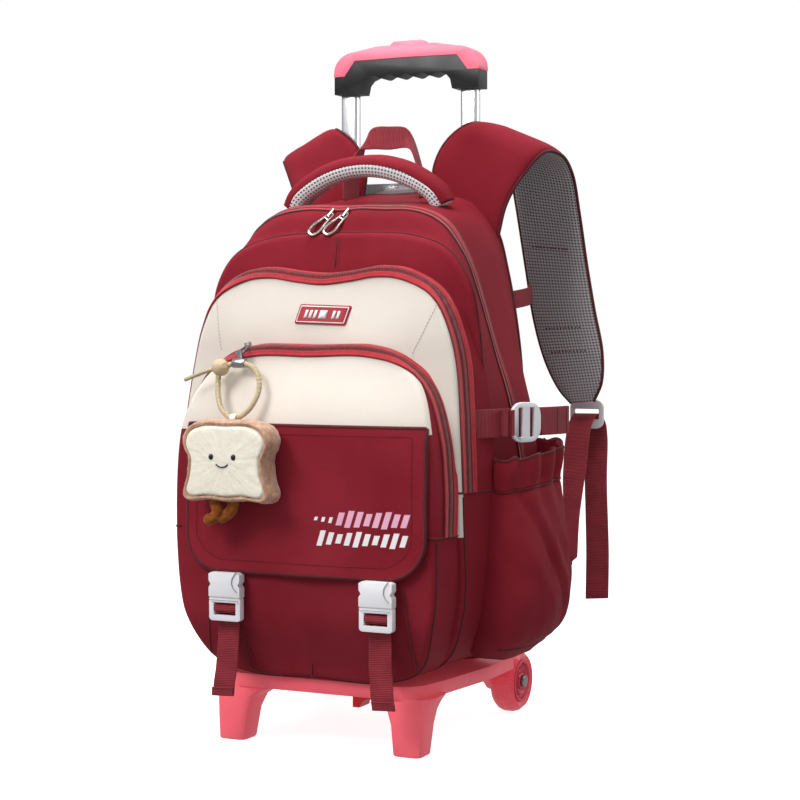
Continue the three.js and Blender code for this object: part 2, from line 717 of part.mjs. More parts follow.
function makeBuckle(side, name) {
  const cx = side * buckleSpread / 2 + buckleShift;
  const w = buckleWidth / 2;
  const joint = buckleTop - socketLength + 3;
  const bottom = joint - frameLength;
  const notch = [
    [cx + w, joint], [cx + w, joint + 8], [cx + w - 2, joint + 11], [cx + w, joint + 14],
    [cx + w, joint + 20], [cx + w - 3, buckleTop - 2.5],
  ];
  const socket = [...notch, ...notch.slice().reverse().map(([x, z]) => [2 * cx - x, z])];
  const y0 = -buckleBack - buckleThickness;
  const body = frontPlate(socket, y0, -buckleBack);
  const low = bottom + 5;
  const window = rectangle(cx - windowWidth / 2, cx + windowWidth / 2, low, low + windowHeight);
  const frame = frontPlate(rounded(cx - w, cx + w, bottom, joint + 1, 3), y0 + 1, -buckleBack - 1, [window]);
  addPiece("buckle_" + name, geometryOf(body.add(frame)), whitePlastic);
  const rollY = -buckleBack - 4.4;
  const rollZ = low + windowHeight / 2;
  const rollHalf = webbingWidth / 2 - 0.4;
  const roll = manifoldOf(cylinderAlongX(3.6, cx - rollHalf, cx + rollHalf, rollY, rollZ, 12));
  const top = [cx, -buckleBack + 1.4, rollZ + 1];
  const tail = strap(stripRows([
    top, [cx - side * 0.5, top[1], 100], [cx - side * 2, top[1] - 2, 75],
    [cx - side * 5, top[1] - 3, frontTailEnd],
  ], [1, 0, 0], webbingWidth - 0.8), webbingThickness, flatSection, 8);
  const neck = boxSolid(cx - webbingWidth / 2 + 0.4, cx + webbingWidth / 2 - 0.4, rollY, top[1],
    rollZ - 1.4, rollZ + 1.4);
  addPiece("front_webbing_" + name, geometryOf(manifoldOf(tail).add(neck).add(roll)), webbing);
}

// Side straps: webbing sewn to each side above the pocket, bowed out through an oval slider.
const sideStrapPath = [
  { x: 134, y: -164 }, { x: 143, y: -149 }, { x: 151.5, y: -131 }, { x: 160, y: -112 },
  { x: 169, y: -92 }, { x: 176, y: -72 }, { x: 180, y: -52 },
];
const sliderStop = 3; // the row of the path that the slider sits on

function makeSideStraps() {
  const points = sideStrapPath.map(({ x, y }) => [x, y, sideStrapHeight]);
  const rows = stripRows(points, [0, 0, 1], sideStrapWidth);
  const band = strap(rows, webbingThickness, flatSection, 10);
  addPair("side_strap", band, webbing, swollen(bag.main, seatGap).add(swollen(bag.upper, seatGap)));
  const slot = { middle: 7, half: 2.8, reach: 13 };
  const slots = [-1, 1].map((side) => rectangle(
    side * slot.middle - slot.half, side * slot.middle + slot.half, -slot.reach, slot.reach,
  ));
  const oval = rounded(-sliderWidth / 2, sliderWidth / 2, -sliderHeight / 2, sliderHeight / 2, 12, 4);
  const plate = geometryOf(frontPlate(oval, -sliderThickness, 0, slots));
  const [before, at, after] = sideStrapPath.slice(sliderStop - 1, sliderStop + 2);
  const turn = Math.atan2(after.y - before.y, after.x - before.x);
  plate.translate(0, -webbingThickness / 2 - seatGap - sliderStandOff, 0);
  plate.rotateZ(turn);
  plate.translate(at.x, at.y, sideStrapHeight);
  addPair("side_slider", plate, whitePlastic);
}

// Carry handle on the top: a padded arch, cloth above and mesh below.
function makeGrabHandle() {
  const arch = [
    { across: -1, up: 0 }, { across: -0.9, up: 0.32 }, { across: -0.6, up: 0.72 }, { across: -0.3, up: 0.93 },
    { across: 0, up: 1 }, { across: 0.3, up: 0.93 }, { across: 0.6, up: 0.72 }, { across: 0.9, up: 0.32 },
    { across: 1, up: 0 },
  ];
  const middleTop = grabTop - grabThickness / 2;
  const points = arch.map((row) => [
    row.across * grabHalfWidth, -grabAt, grabFoot + row.up * (middleTop - grabFoot),
  ]);
  const rows = stripRows(points, [0, -1, -0.12], grabHeight);
  const clear = swollen(bag.main, seatGap);
  const padded = (from, to) => manifoldOf(strap(rows, grabThickness, padSection(from, to, 8), 14));
  const build = (from, to) => padded(from, to).subtract(clear);
  addPiece("grab_handle_cover", geometryOf(build(Math.PI + 0.5, 2 * Math.PI - 0.14)), wineCloth);
  addPiece("grab_handle_mesh", geometryOf(build(-0.1, Math.PI + 0.46)), greyMesh);
}

// Small webbing loop behind the carry handle.
function makeHangingLoop() {
  const rows = [
    { left: [-43, -57, 489], right: [-39, -33, 488] }, { left: [-43, -55, 510], right: [-38, -33, 508] },
    { left: [-33, -45, 535], right: [-30, -33, 545] }, { left: [-23, -39, 537], right: [-23, -35, 557] },
    { left: [-3, -39, 536], right: [-3, -35, 558] }, { left: [13, -39, 537], right: [12, -35, 556] },
    { left: [22, -45, 533], right: [18, -33, 547] }, { left: [34, -55, 510], right: [29, -33, 512] },
    { left: [36, -57, 489], right: [32, -33, 489] },
  ];
  const band = manifoldOf(strap(rows, webbingThickness, flatSection, 18));
  addPiece("hanging_loop", geometryOf(band.subtract(swollen(bag.main, seatGap))), webbing);
}

// Shoulder straps: edge points from the bag's top, round the pull tube and down behind the bag.
const shoulderRows = [
  { left: [40, -24, 488], right: [100, -24, 452] }, { left: [36, -24, 516], right: [108, -22, 484] },
  { left: [48, -21, 543], right: [121, -14, 510] }, { left: [70, -16, 559], right: [137, 1, 532] },
  { left: [82, 7, 557], right: [146, 22, 530] }, { left: [85, 38, 538], right: [148, 46, 514] },
  { left: [87, 58, 490], right: [150, 60, 478] }, { left: [93, 71, 425], right: [154, 70, 430] },
  { left: [99, 78, 375], right: [160, 76, 385] }, { left: [110, 81, 335], right: [167, 79, 345] },
  { left: [124, 82, 308], right: [166, 80, 315] }, { left: [136, 82, 295], right: [158, 81, 297] },
];

function makeShoulderStraps() {
  const clear = swollen(bag.main, seatGap);
  const outer = padSection(0.06, Math.PI - 0.06, 6);
  const inner = padSection(Math.PI + 0.06, 2 * Math.PI - 0.06, 6);
  addPair("shoulder_strap_cover", strap(shoulderRows, strapThickness, inner, 20), wineCloth, clear);
  addPair("shoulder_strap_mesh", strap(shoulderRows, strapThickness, outer, 20), greyMesh, clear);
}

// Webbing from a tab on the bag's lower corner up to the adjuster, and its free tail.
function makeStrapWebbing() {
  const tab = strap([
    { left: [108, -16, 168], right: [108, -16, 122] }, { left: [120, -11, 168], right: [120, -11, 122] },
    { left: [142, 4, 160], right: [142, 4, 136] },
    { left: [158, 22, 151], right: [158, 22, 145] },
  ], webbingThickness, flatSection, 6);
  const run = strap([
    { left: [151, 15, 140], right: [162, 26, 152] }, { left: [146, 32, 185], right: [160, 38, 190] },
    { left: [138, 52, 230], right: [160, 55, 232] }, { left: [133, 80, 274], right: [157, 81, 275] },
    { left: [135, 95, 284], right: [159, 95, 284] }, { left: [138, 106, 276], right: [162, 106, 276] },
    { left: [141, 104, 262], right: [165, 104, 262] },
    { left: [146, 92, 220], right: [169, 91, 220] }, { left: [153, 77, 150], right: [176, 77, 150] },
    { left: [155, 70, tailEnd], right: [178, 70, tailEnd + 2] },
  ], webbingThickness, flatSection, 22);
  const joined = geometryOf(manifoldOf(tab).add(manifoldOf(run)));
  addPair("strap_webbing", joined, webbing, swollen(bag.main, seatGap));
  const window = rectangle(-webbingWidth / 2 - 1.6, webbingWidth / 2 + 1.6, -5, 5);
  const outline = rounded(-adjusterWidth / 2, adjusterWidth / 2, -14, 14, 7, 3);
  const plate = geometryOf(frontPlate(outline, -2, 2, [window]));
  plate.translate(147, 95, 284);
  addPair("strap_adjuster", plate, whitePlastic);
}

// Short webbing that ties each shoulder strap to the bag's rear edge.
function makeStrapKeepers() {
  const rows = stripRows(
    [[98, -15, 393], [108, -10.5, 394], [116, 8, 397], [112, 34, 400], [100, 58, 402]], [0, 0.1, 1], 17,
  );
  addPair("strap_keeper", strap(rows, webbingThickness, flatSection, 6), webbing, swollen(bag.main, seatGap));
}

// Tray, feet and wheel brackets, all one moulding.
const footRows = [
  { height: 0, x: 0, y: 0, width: 0.95, depth: 0.95 }, { height: 0.03, x: 0, y: 0, width: 1, depth: 1 },
  { height: 0.55, x: -0.02, y: 0.1, width: 1.16, depth: 1.12 },
  { height: 0.8, x: -0.08, y: 0.22, width: 1.36, depth: 1.25 },
  { height: 0.93, x: -0.22, y: 0.34, width: 1.75, depth: 1.4 },
  { height: 1.04, x: -0.45, y: 0.45, width: 2.4, depth: 1.5 },
];
const trayUnder = trayTop - trayThickness;
const axleAt = wheelBehindTubes;
const wheelInner = wheelTrack / 2 - wheelWidth / 2;
const bracketThickness = 8;
const bracketAt = wheelInner - 3 - bracketThickness / 2; // middle of a wheel's bracket, 3 mm clear of the wheel

function footSolid(side) {
  const rings = footRows.map((row) => {
    const w = footWidth * row.width / 2;
    const d = footDepth * row.depth / 2;
    const cx = side * (footSpread / 2 + row.x * footWidth);
    const cy = footSetback - trayFront + row.y * footDepth;
    return rounded(cx - w, cx + w, cy - d, cy + d, 5, 2).map(([x, y]) => [x, y, row.height * trayUnder]);
  });
  return manifoldOf(loft(rings));
}

// A plate in plan: corners as [x, y], from one height to another.
function planPlate(corners, low, high) {
  const shape = new THREE.Shape(corners.map(([x, y]) => new THREE.Vector2(x, y)));
  const geometry = new THREE.ExtrudeGeometry(shape, { depth: high - low, bevelEnabled: false });
  geometry.translate(0, 0, low);
  return manifoldOf(geometry);
}

function trayPlan(inset) {
  const front = -trayFront + inset;
  const half = trayHalfWidth - inset;
  const right = [
    [half - 34, front], [half - 24, front + 4], [half - 16, front + 14], [half - 10, front + 45],
    [half, -trayBack - 60], [half, -trayBack - inset], [wheelInner - 3 - inset, -trayBack - inset],
    [wheelInner - 3 - inset, 14 - inset],
  ];
  return [...right, ...right.slice().reverse().map(([x, y]) => [-x, y])];
}

function trayRibs() {
  const ribs = [];
  for (let x = -55; x <= 55; x += 55) ribs.push(boxSolid(x - 1.2, x + 1.2, -trayFront, 14, trayUnder, trayTop));
  for (let y = -140; y <= -50; y += 45) {
    ribs.push(boxSolid(-trayHalfWidth, trayHalfWidth, y - 1.2, y + 1.2, trayUnder, trayTop));
  }
  return ribs;
}

function bracketSolid(side) {
  const outline = [
    [-trayBack, trayTop - 2], [14, trayTop - 2], [axleAt + 9, wheelRadius + 9], [axleAt + 10, wheelRadius],
    [axleAt + 7, wheelRadius - 8], [axleAt, wheelRadius - 10.5], [axleAt - 7, wheelRadius - 8],
    [-trayBack - 4, trayUnder + 1],
  ];
  const middle = side * bracketAt;
  const half = bracketThickness / 2;
  return sideBlock(outline).intersect(boxSolid(middle - half, middle + half, -50, 80, 0, 80));
}

function makeTray() {
  const cells = planPlate(trayPlan(4), trayUnder - 1, trayTop - 4);
  const solidZone = boxSolid(-trayHalfWidth, trayHalfWidth, -14, 20, trayUnder - 2, trayTop);
  const hollow = trayRibs().reduce((left, rib) => left.subtract(rib), cells.subtract(solidZone));
  let tray = planPlate(trayPlan(0), trayUnder, trayTop).subtract(hollow);
  for (const side of [-1, 1]) {
    tray = tray.add(footSolid(side)).add(bracketSolid(side));
    const middle = side * bracketAt;
    const bore = cylinderAlongX(axleRadius + seatGap, middle - bracketThickness, middle + bracketThickness,
      axleAt, wheelRadius, 16);
    tray = tray.subtract(manifoldOf(bore));
  }
  addPiece("tray_base", geometryOf(tray), pinkPlastic);
}

// The small arched bracket that hangs under the middle of the tray.
function makeStandBracket() {
  const half = 20;
  const arc = [];
  for (let i = 0; i <= 8; i++) {
    const a = Math.PI * i / 8;
    arc.push([-13 * Math.cos(a), 14 + 9 * Math.sin(a)]);
  }
  const outline = [[-half, trayUnder - seatGap], [-half, 14], ...arc, [half, 14], [half, trayUnder - seatGap]];
  addPiece("stand_bracket", geometryOf(frontPlate(outline, -85, -63)), redZip);
}

// Wheels: a lathed tyre on a hub with raised rings, turning on a bolt.
function lathe(profile, sides) {
  const curve = profile.map(([r, x]) => new THREE.Vector2(r, x));
  const geometry = new THREE.LatheGeometry([...curve, curve[0]], sides);
  geometry.rotateZ(-Math.PI / 2);
  return manifoldOf(geometry);
}

function makeWheel(side, name) {
  const w = wheelWidth / 2;
  const centre = side * wheelTrack / 2;
  const place = (solid) => {
    const geometry = geometryOf(solid);
    if (side < 0) geometry.rotateY(Math.PI);
    geometry.translate(centre, axleAt, wheelRadius);
    return geometry;
  };
  const tyre = lathe([
    [hubRadius + seatGap, -w + 2], [wheelRadius - 5, -w], [wheelRadius - 1.4, -w + 4], [wheelRadius, -4],
    [wheelRadius, 4], [wheelRadius - 1.4, w - 4], [wheelRadius - 5, w], [hubRadius + seatGap, w - 2],
  ], 24);
  const bore = axleRadius + spinGap;
  const hub = lathe([
    [bore, -w + 1], [hubRadius, -w + 1], [hubRadius, w - 0.5], [hubRadius - 2, w - 0.5], [hubRadius - 3, w - 4],
    [13.5, w - 4], [13, w - 1], [11, w - 4], [8, w - 4], [7.5, w - 1], [bore, w - 1],
  ], 20);
  addPiece("tyre_" + name, place(tyre), clearTyre);
  addPiece("hub_" + name, place(hub), pinkPlastic);
  const shank = manifoldOf(cylinderAlongX(axleRadius, wheelInner - 14, wheelInner + wheelWidth + 1, 0, 0, 14));
  const headAt = wheelInner + wheelWidth - 0.6;
  const head = manifoldOf(cylinderAlongX(axleRadius + 2, headAt, headAt + 3, 0, 0, 14));
  const bolt = geometryOf(shank.add(head));
  bolt.scale(side, 1, 1);
  bolt.translate(0, axleAt, wheelRadius);
  addPiece("wheel_bolt_" + name, side < 0 ? turnedOut(bolt) : bolt, aluminium);
}

// The same solid with its faces turned round, for one that was scaled into its mirror image.
function turnedOut(geometry) {
  const index = Array.from(geometry.index.array);
  for (let i = 0; i < index.length; i += 3) [index[i + 1], index[i + 2]] = [index[i + 2], index[i + 1]];
  geometry.setIndex(index);
  return geometry;
}

// Pull handle: fixed outer tubes joined by a collar, sliding inner tubes, and the grip.
const innerWidth = tubeWidth - 1.5;
const innerDepth = tubeDepth - 0.4;

function barAt(width, depth, corner, low, high, x) {
  const geometry = roundedBar(width, depth, corner, low, high);
  geometry.translate(x, 0, 0);
  return manifoldOf(geometry);
}

function makeTubes() {
  const boreWidth = innerWidth + 2 * slideGap;
  const boreDepth = innerDepth + 2 * slideGap;
  const outerWidth = boreWidth + 2 * tubeWall;
  const outerDepth = boreDepth + 2 * tubeWall;
  const low = trayTop + seatGap;
  let fixed = boxSolid(-tubeSpacing / 2, tubeSpacing / 2, -4, 4, collarTop - collarHeight + 4, collarTop - 4);
  for (const side of [-1, 1]) {
    const x = side * tubeSpacing / 2;
    fixed = fixed.add(barAt(outerWidth, outerDepth, 4, low, collarTop, x));
    fixed = fixed.add(barAt(outerWidth + 8, outerDepth + 5, 5, collarTop - collarHeight, collarTop, x));
  }
  for (const side of [-1, 1]) {
    fixed = fixed.subtract(barAt(boreWidth, boreDepth, 3, low - 2, collarTop + 2, side * tubeSpacing / 2));
  }
  addPiece("tube_frame", geometryOf(fixed), aluminium);
  for (const [side, name] of [[-1, "left"], [1, "right"]]) {
    const tube = barAt(innerWidth, innerDepth, 2.5, innerTubeBottom, gripBottom + 15, side * tubeSpacing / 2);
    addPiece("inner_tube_" + name, geometryOf(tube), aluminium);
  }
}

function makeGrip() {
  const half = gripHalfWidth;
  const inside = tubeSpacing / 2 - legWidth / 2;
  const under = gripBarTop - gripBarHeight + 6;
  const waves = [];
  for (let i = 0; i <= 16; i++) {
    const x = inside - 13 - (inside - 13) * i / 16;
    waves.push([x, under + 1.6 * Math.cos(2 * Math.PI * x / 17)]);
  }
  const seam = [
    [half, handleTop - 27], [half - 11, handleTop - 27], [half - 22, handleTop - 12.5], [0, handleTop - 12],
  ];
  const blackHalf = [
    ...seam.slice().reverse().map(([x, z]) => [x, z - seatGap]), [half, gripBottom], [inside, gripBottom],
    [inside - 2, gripBottom + 9], [inside - 6, under - 1.5], ...waves,
  ];
  const blackRight = blackHalf.filter(([x]) => x > 0.01);
  const black = [
    [0, handleTop - 12 - seatGap], ...blackRight, [0, waves[16][1]],
    ...blackRight.slice().reverse().map(([x, z]) => [-x, z]),
  ];
  const y = gripDepth / 2;
  let grip = frontPlate(black, -y, y);
  for (const side of [-1, 1]) {
    grip = grip.subtract(barAt(innerWidth + 2 * seatGap, innerDepth + 2 * seatGap, 2.7, gripBottom - 5,
      gripBottom + 15 + seatGap, side * tubeSpacing / 2));
  }
  addPiece("handle_grip", geometryOf(grip), blackPlastic);
  const crown = [];
  for (let i = 0; i <= 8; i++) {
    const a = Math.PI / 2 * i / 8;
    crown.push([half - 22 + 22.5 * Math.cos(a), handleTop - 24 + 20 * Math.sin(a)]);
  }
  const shellRight = [[half - 11, handleTop - 27], [half + 0.5, handleTop - 27], ...crown, [30, handleTop]];
  const shell = [
    [half - 22, handleTop - 12.5], ...shellRight, ...shellRight.slice().reverse().map(([x, z]) => [-x, z]),
    [-half + 22, handleTop - 12.5], [0, handleTop - 12],
  ];
  const recess = boxSolid(-buttonWidth / 2 - slideGap, buttonWidth / 2 + slideGap, -buttonDepth / 2 - slideGap,
    buttonDepth / 2 + slideGap, handleTop - 9, handleTop + 2);
  const plate = frontPlate(shell, -y - 0.5, y + 0.5);
  addPiece("handle_shell", geometryOf(plate.subtract(recess)), pinkPlastic);
  const b = buttonWidth / 2;
  const top = handleTop + buttonRise;
  const button = [
    [-b, handleTop - 4], [b, handleTop - 4], [b, handleTop + 1], [b - 4, top], [-b + 4, top], [-b, handleTop + 1],
  ];
  addPiece("handle_button", geometryOf(frontPlate(button, -buttonDepth / 2, buttonDepth / 2)), pinkPlastic);
}

// A point on a layer's surface above or beside its middle, found by casting a ray at the solid.
function surfacePoint(geometry, from, toward) {
  const mesh = new THREE.Mesh(geometry, new THREE.MeshBasicMaterial({ side: THREE.DoubleSide }));
  const ray = new THREE.Raycaster(new THREE.Vector3(...from), new THREE.Vector3(...toward).normalize());
  const hit = ray.intersectObject(mesh)[0];
  return { at: hit.point, normal: hit.face.normal.clone() };
}

// The frame of a slider: across and along the way its pull hangs, and out of the cloth.
function sliderFrame(spot, hang) {
  const normal = spot.normal.clone();
  const along = new THREE.Vector3(...hang);
  along.sub(normal.clone().multiplyScalar(along.dot(normal))).normalize();
  const across = normal.clone().cross(along).negate();
  const base = spot.at.clone().add(normal.clone().multiplyScalar(sliderLift));
  return new THREE.Matrix4().makeBasis(across, along, normal).setPosition(base);
}

const bailInside = [2.6, 6.8]; // lowest and highest point of the bail's opening above the slider's foot
const pullThickness = 1.8;

function moved(solid, frame) {
  const geometry = geometryOf(solid);
  geometry.applyMatrix4(frame);
  return frame.determinant() < 0 ? turnedOut(geometry) : geometry;
}

function makeSlider(name, frame) {
  const foot = boxSolid(-4.2, 4.2, -4.6, 4.6, 0, bailInside[0]);
  const arch = boxSolid(-1.1, 1.1, -4.4, 4.4, 2, bailInside[1] + 1.2);
  const gap = boxSolid(-2, 2, -3.2, 3.2, ...bailInside);
  addPiece(name + "_slider", moved(foot.add(arch.subtract(gap)), frame), zipMetal);
}

// A pull hangs by its top bar in the bail and droops by an angle to lie on the cloth.
function pullGeometry(frame, length, droop, charmLength = 0) {
  const wide = 4.6;
  const t = pullThickness / 2;
  const rim = [[-2.7, -0.9], [2.7, -0.9], [wide, length], [-wide, length]];
  const gap = [[-1.7, 0.9], [1.7, 0.9], [wide - 1.6, length - 4], [-wide + 1.6, length - 4]];
  let pull = planPlate(rim, -t, t).subtract(planPlate(gap, -2 * t, 2 * t));
  if (charmLength > 0) pull = pull.add(boxSolid(-2.4, 2.4, length - 1, length + charmLength, -t, t));
  const middle = (bailInside[0] + bailInside[1]) / 2;
  const swing = new THREE.Matrix4().makeRotationX(-droop).setPosition(0, 0, middle);
  return moved(pull, frame.clone().multiply(swing));
}

function makeZipFittings() {
  for (const [name, x] of [["main_left", -13], ["main_right", 2]]) {
    const spot = surfacePoint(bag.main, [x, farFront, mainTop - 7], [0, 1, 0]);
    const frame = sliderFrame(spot, [-0.55, -0.45, -0.7]);
    makeSlider(name, frame);
    addPiece(name + "_pull", pullGeometry(frame, mainPullLength, mainPullDroop), zipMetal);
  }
  const sideFrom = [-300, layerY("upper", upperZipEnd) + 10, upperZipEnd + 9];
  const sideSpot = surfacePoint(bag.upper, sideFrom, [1, 0, 0]);
  const sideFrame = sliderFrame(sideSpot, [0, 0, -1]);
  makeSlider("upper", sideFrame);
  const sidePull = pullGeometry(sideFrame, mainPullLength, 0.05, sidePullLength - mainPullLength);
  addPiece("upper_pull", sidePull, zipMetal);
  const topSpot = surfacePoint(bag.lower, [charmAt - 10, layerY("lower", lowerTop) + 5, 500], [0, 0, -1]);
  const topFrame = sliderFrame(topSpot, [0, -1, -0.2]);
  makeSlider("lower", topFrame);
  return { hook: topSpot.at, link: pullGeometry(topFrame, 18, 0.2) };
}

// Charm: a plush slice of toast with crossed legs, on a wound cord with a bead and a metal sleeve.
function makeCharm({ hook, link }) {
  const breadRows = [
    { across: 0, up: 1 }, { across: 0.55, up: 1 }, { across: 0.88, up: 0.92 }, { across: 1, up: 0.77 },
    { across: 0.95, up: 0.64 }, { across: 0.88, up: 0.56 }, { across: 0.9, up: 0.3 }, { across: 1, up: 0.06 },
    { across: 0.9, up: 0.0 }, { across: 0.45, up: 0.02 }, { across: 0, up: 0 },
  ];
  const half = breadRows.map((row) => [row.across * charmWidth / 2, charmTop + (row.up - 1) * charmHeight]);
  const ring = [...half, ...half.slice(1, -1).reverse().map(([x, z]) => [-x, z])];
  const cz = charmTop - charmHeight / 2;
  const slices = [[0, 0.86], [0.12, 0.95], [0.3, 1], [0.7, 1], [0.88, 0.95], [1, 0.86]];
  const rings = slices.map(([share, size]) => ring.map(([x, z]) => [
    charmAt + x * size, -charmFront + share * charmThickness, cz + (z - cz) * size,
  ]));
  addPiece("charm_toast", loft(rings), creamPlush);
  const under = charmTop - charmHeight;
  const y = -charmFront + charmThickness / 2;
  const frontLeg = cordAlong([
    [charmAt - 17, y - 2, under + 1], [charmAt - 12, y - 3, under - 9], [charmAt - 17, y - 3, under - 15],
    [charmAt - 25, y - 4, under - 17],
  ], legDiameter, 8, 4);
  const backLeg = cordAlong([
    [charmAt + 3, y - 1, under + 1], [charmAt, y - 1, under - 8], [charmAt - 7, y, under - 13],
    [charmAt - 14, y, under - 16],
  ], legDiameter, 8, 4);
  const toast = manifoldOf(loft(rings.map((r) => r.map(([x, ry, z]) => [
    charmAt + (x - charmAt) * 1.01, ry, cz + (z - cz) * 1.012,
  ]))));
  addPiece("charm_legs", geometryOf(manifoldOf(frontLeg).add(manifoldOf(backLeg)).subtract(toast)), brownPlush);
  const bead = [charmAt - 27, hook.y - 22, hook.z - 14];
  const route = [
    [bead[0] - 33, bead[1] - 6, bead[2] - 11], [bead[0] - 15, bead[1] - 2, bead[2] - 4], bead,
    [charmAt - 10, hook.y - 18, hook.z - 10], [charmAt + 8, hook.y - 22, hook.z - 16],
    [charmAt + 15, hook.y - 28, hook.z - 32], [charmAt + 9, hook.y - 36, hook.z - 50],
    [charmAt - 3, hook.y - 40, hook.z - 57.5], [charmAt - 17, hook.y - 37, hook.z - 50],
    [charmAt - 25, hook.y - 30, hook.z - 36], [charmAt - 27.5, hook.y - 25, hook.z - 26],
  ];
  addPiece("charm_cord", cordAlong(route, cordDiameter, 6, 32), cordFibre);
  const ball = new THREE.SphereGeometry(beadRadius, 10, 7);
  ball.translate(...bead);
  const bored = cordAlong(route, cordDiameter + 2 * seatGap, 6, 32);
  addPiece("charm_bead", geometryOf(manifoldOf(ball).subtract(manifoldOf(bored))), cordFibre);
  const sleeve = manifoldOf(cylinderAlongX(cordDiameter / 2 + 1.8, charmAt - 16, charmAt - 4, hook.y - 18.2,
    hook.z - 10.3, 12));
  const tongue = boxSolid(charmAt - 12.2, charmAt - 7.8, hook.y - 18.6, hook.y - 16, hook.z - 9, hook.z + 1);
  const fitting = sleeve.add(tongue).add(manifoldOf(link)).subtract(manifoldOf(bored));
  addPiece("charm_sleeve", geometryOf(fitting), zipMetal);
}

makeMainCompartment();
makePocket("upper", "main", upperZipEnd, upperZipEnd);
makePocket("lower", "upper", lowerZipEnd, flapTop - 5);
makeFlap();
makeBadge();
makeSidePockets();
makeBuckle(-1, "left");
makeBuckle(1, "right");
makeSideStraps();
makeGrabHandle();
makeHangingLoop();
makeShoulderStraps();
makeStrapWebbing();
makeStrapKeepers();
makeTray();
makeStandBracket();
makeWheel(-1, "left");
makeWheel(1, "right");
makeTubes();
makeGrip();
makeCharm(makeZipFittings());

// The origin is the middle of the footprint of everything but the hanging charm, on the floor.
function centreOnFootprint() {
  const box = new THREE.Box3();
  for (const mesh of root.children) {
    if (!mesh.name.startsWith("charm_")) box.expandByObject(mesh);
  }
  root.position.set(-(box.min.x + box.max.x) / 2, -(box.min.y + box.max.y) / 2, -box.min.z);
}

centreOnFootprint();

export default root;
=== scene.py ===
import math

import bmesh
import bpy
import numpy as np
from mathutils import Euler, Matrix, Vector
from mathutils.bvhtree import BVHTree


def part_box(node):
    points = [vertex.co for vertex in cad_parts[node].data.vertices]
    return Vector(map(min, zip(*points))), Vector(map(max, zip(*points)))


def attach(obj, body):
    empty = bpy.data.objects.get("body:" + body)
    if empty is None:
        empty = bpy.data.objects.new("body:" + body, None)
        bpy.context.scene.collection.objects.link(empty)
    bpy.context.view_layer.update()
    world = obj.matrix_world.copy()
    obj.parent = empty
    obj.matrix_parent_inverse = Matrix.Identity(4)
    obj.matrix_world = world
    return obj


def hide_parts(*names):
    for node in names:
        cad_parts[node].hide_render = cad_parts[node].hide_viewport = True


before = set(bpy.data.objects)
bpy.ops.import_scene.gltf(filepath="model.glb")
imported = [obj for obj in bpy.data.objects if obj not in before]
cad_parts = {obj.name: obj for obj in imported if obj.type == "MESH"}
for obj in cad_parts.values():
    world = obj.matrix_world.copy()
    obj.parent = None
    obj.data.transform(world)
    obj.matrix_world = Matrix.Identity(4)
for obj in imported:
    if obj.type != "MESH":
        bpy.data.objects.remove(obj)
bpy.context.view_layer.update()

# Lengths in this file are millimetres in the frame of the part's source: the origin is on the
# floor midway between the pull tubes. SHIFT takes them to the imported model's frame.
TUBE_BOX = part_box("tube_frame")
SHIFT = np.array([0.0, (TUBE_BOX[0].y + TUBE_BOX[1].y) / 2, 0.0])
MM = 0.001


def metres(points):
    """Points in millimetres of the part's source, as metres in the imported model's frame."""
    return np.asarray(points, float) * MM + SHIFT


# Mesh making

def mesh_object(name, points, faces, material, body="bag", uv=None, attributes=None):
    mesh = bpy.data.meshes.new(name)
    mesh.from_pydata(metres(points).tolist(), [], faces)
    mesh.validate()
    if uv is not None:
        layer = mesh.uv_layers.new(name="cloth")
        index = np.empty(len(mesh.loops), int)
        mesh.loops.foreach_get("vertex_index", index)
        layer.data.foreach_set("uv", np.asarray(uv, np.float32)[index].ravel())
    for key, values in (attributes or {}).items():
        data = mesh.attributes.new(key, "FLOAT", "POINT").data
        data.foreach_set("value", np.asarray(values, np.float32).ravel())
    mesh.polygons.foreach_set("use_smooth", np.full(len(mesh.polygons), True))
    mesh.materials.append(material)
    piece = bpy.data.objects.new(name, mesh)
    bpy.context.scene.collection.objects.link(piece)
    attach(piece, body)
    return piece


def grid_faces(rows, cols, wrap=False, start=0):
    """Quads between neighbours of a grid; wrap closes each row into a ring."""
    faces = []
    last = cols if wrap else cols - 1
    for i in range(rows - 1):
        for j in range(last):
            k = (j + 1) % cols
            a = start + i * cols
            faces.append((a + j, a + k, a + cols + k, a + cols + j))
    return faces


def arc_lengths(grid, axis):
    """The length run from the grid's first point along an axis, at each point."""
    steps = np.linalg.norm(np.diff(grid, axis=axis), axis=2)
    zero = np.zeros_like(np.take(steps, [0], axis=axis))
    return np.cumsum(np.concatenate([zero, steps], axis=axis), axis=axis)


def grid_uv(grid):
    """Coordinates in millimetres for the cloth's weave: across from the middle, and along."""
    across = arc_lengths(grid, 1)
    along = arc_lengths(grid, 0)
    across = across - across[:, :1] - across[:, -1:] / 2
    along = np.repeat(along.mean(axis=1, keepdims=True), grid.shape[1], axis=1)
    return np.stack([across, along], axis=2).reshape(-1, 2)


def grid_normals(grid, wrap=False):
    if wrap:
        du = np.roll(grid, -1, axis=1) - np.roll(grid, 1, axis=1)
    else:
        du = np.gradient(grid, axis=1)
    normal = np.cross(du, np.gradient(grid, axis=0))
    return normal / np.maximum(np.linalg.norm(normal, axis=2, keepdims=True), 1e-9)


def grid_object(name, grid, material, wrap=False, attributes=None):
    rows, cols = grid.shape[:2]
    faces = grid_faces(rows, cols, wrap)
    if wrap:
        faces += [tuple(range(cols))[::-1], tuple(range((rows - 1) * cols, rows * cols))]
    return mesh_object(name, grid.reshape(-1, 3), faces, material, uv=grid_uv(grid), attributes=attributes)


def thicken(piece, thickness):
    modifier = piece.modifiers.new("thickness", "SOLIDIFY")
    modifier.thickness = thickness * MM
    modifier.offset = 0.0
    modifier.use_even_offset = False
    return piece


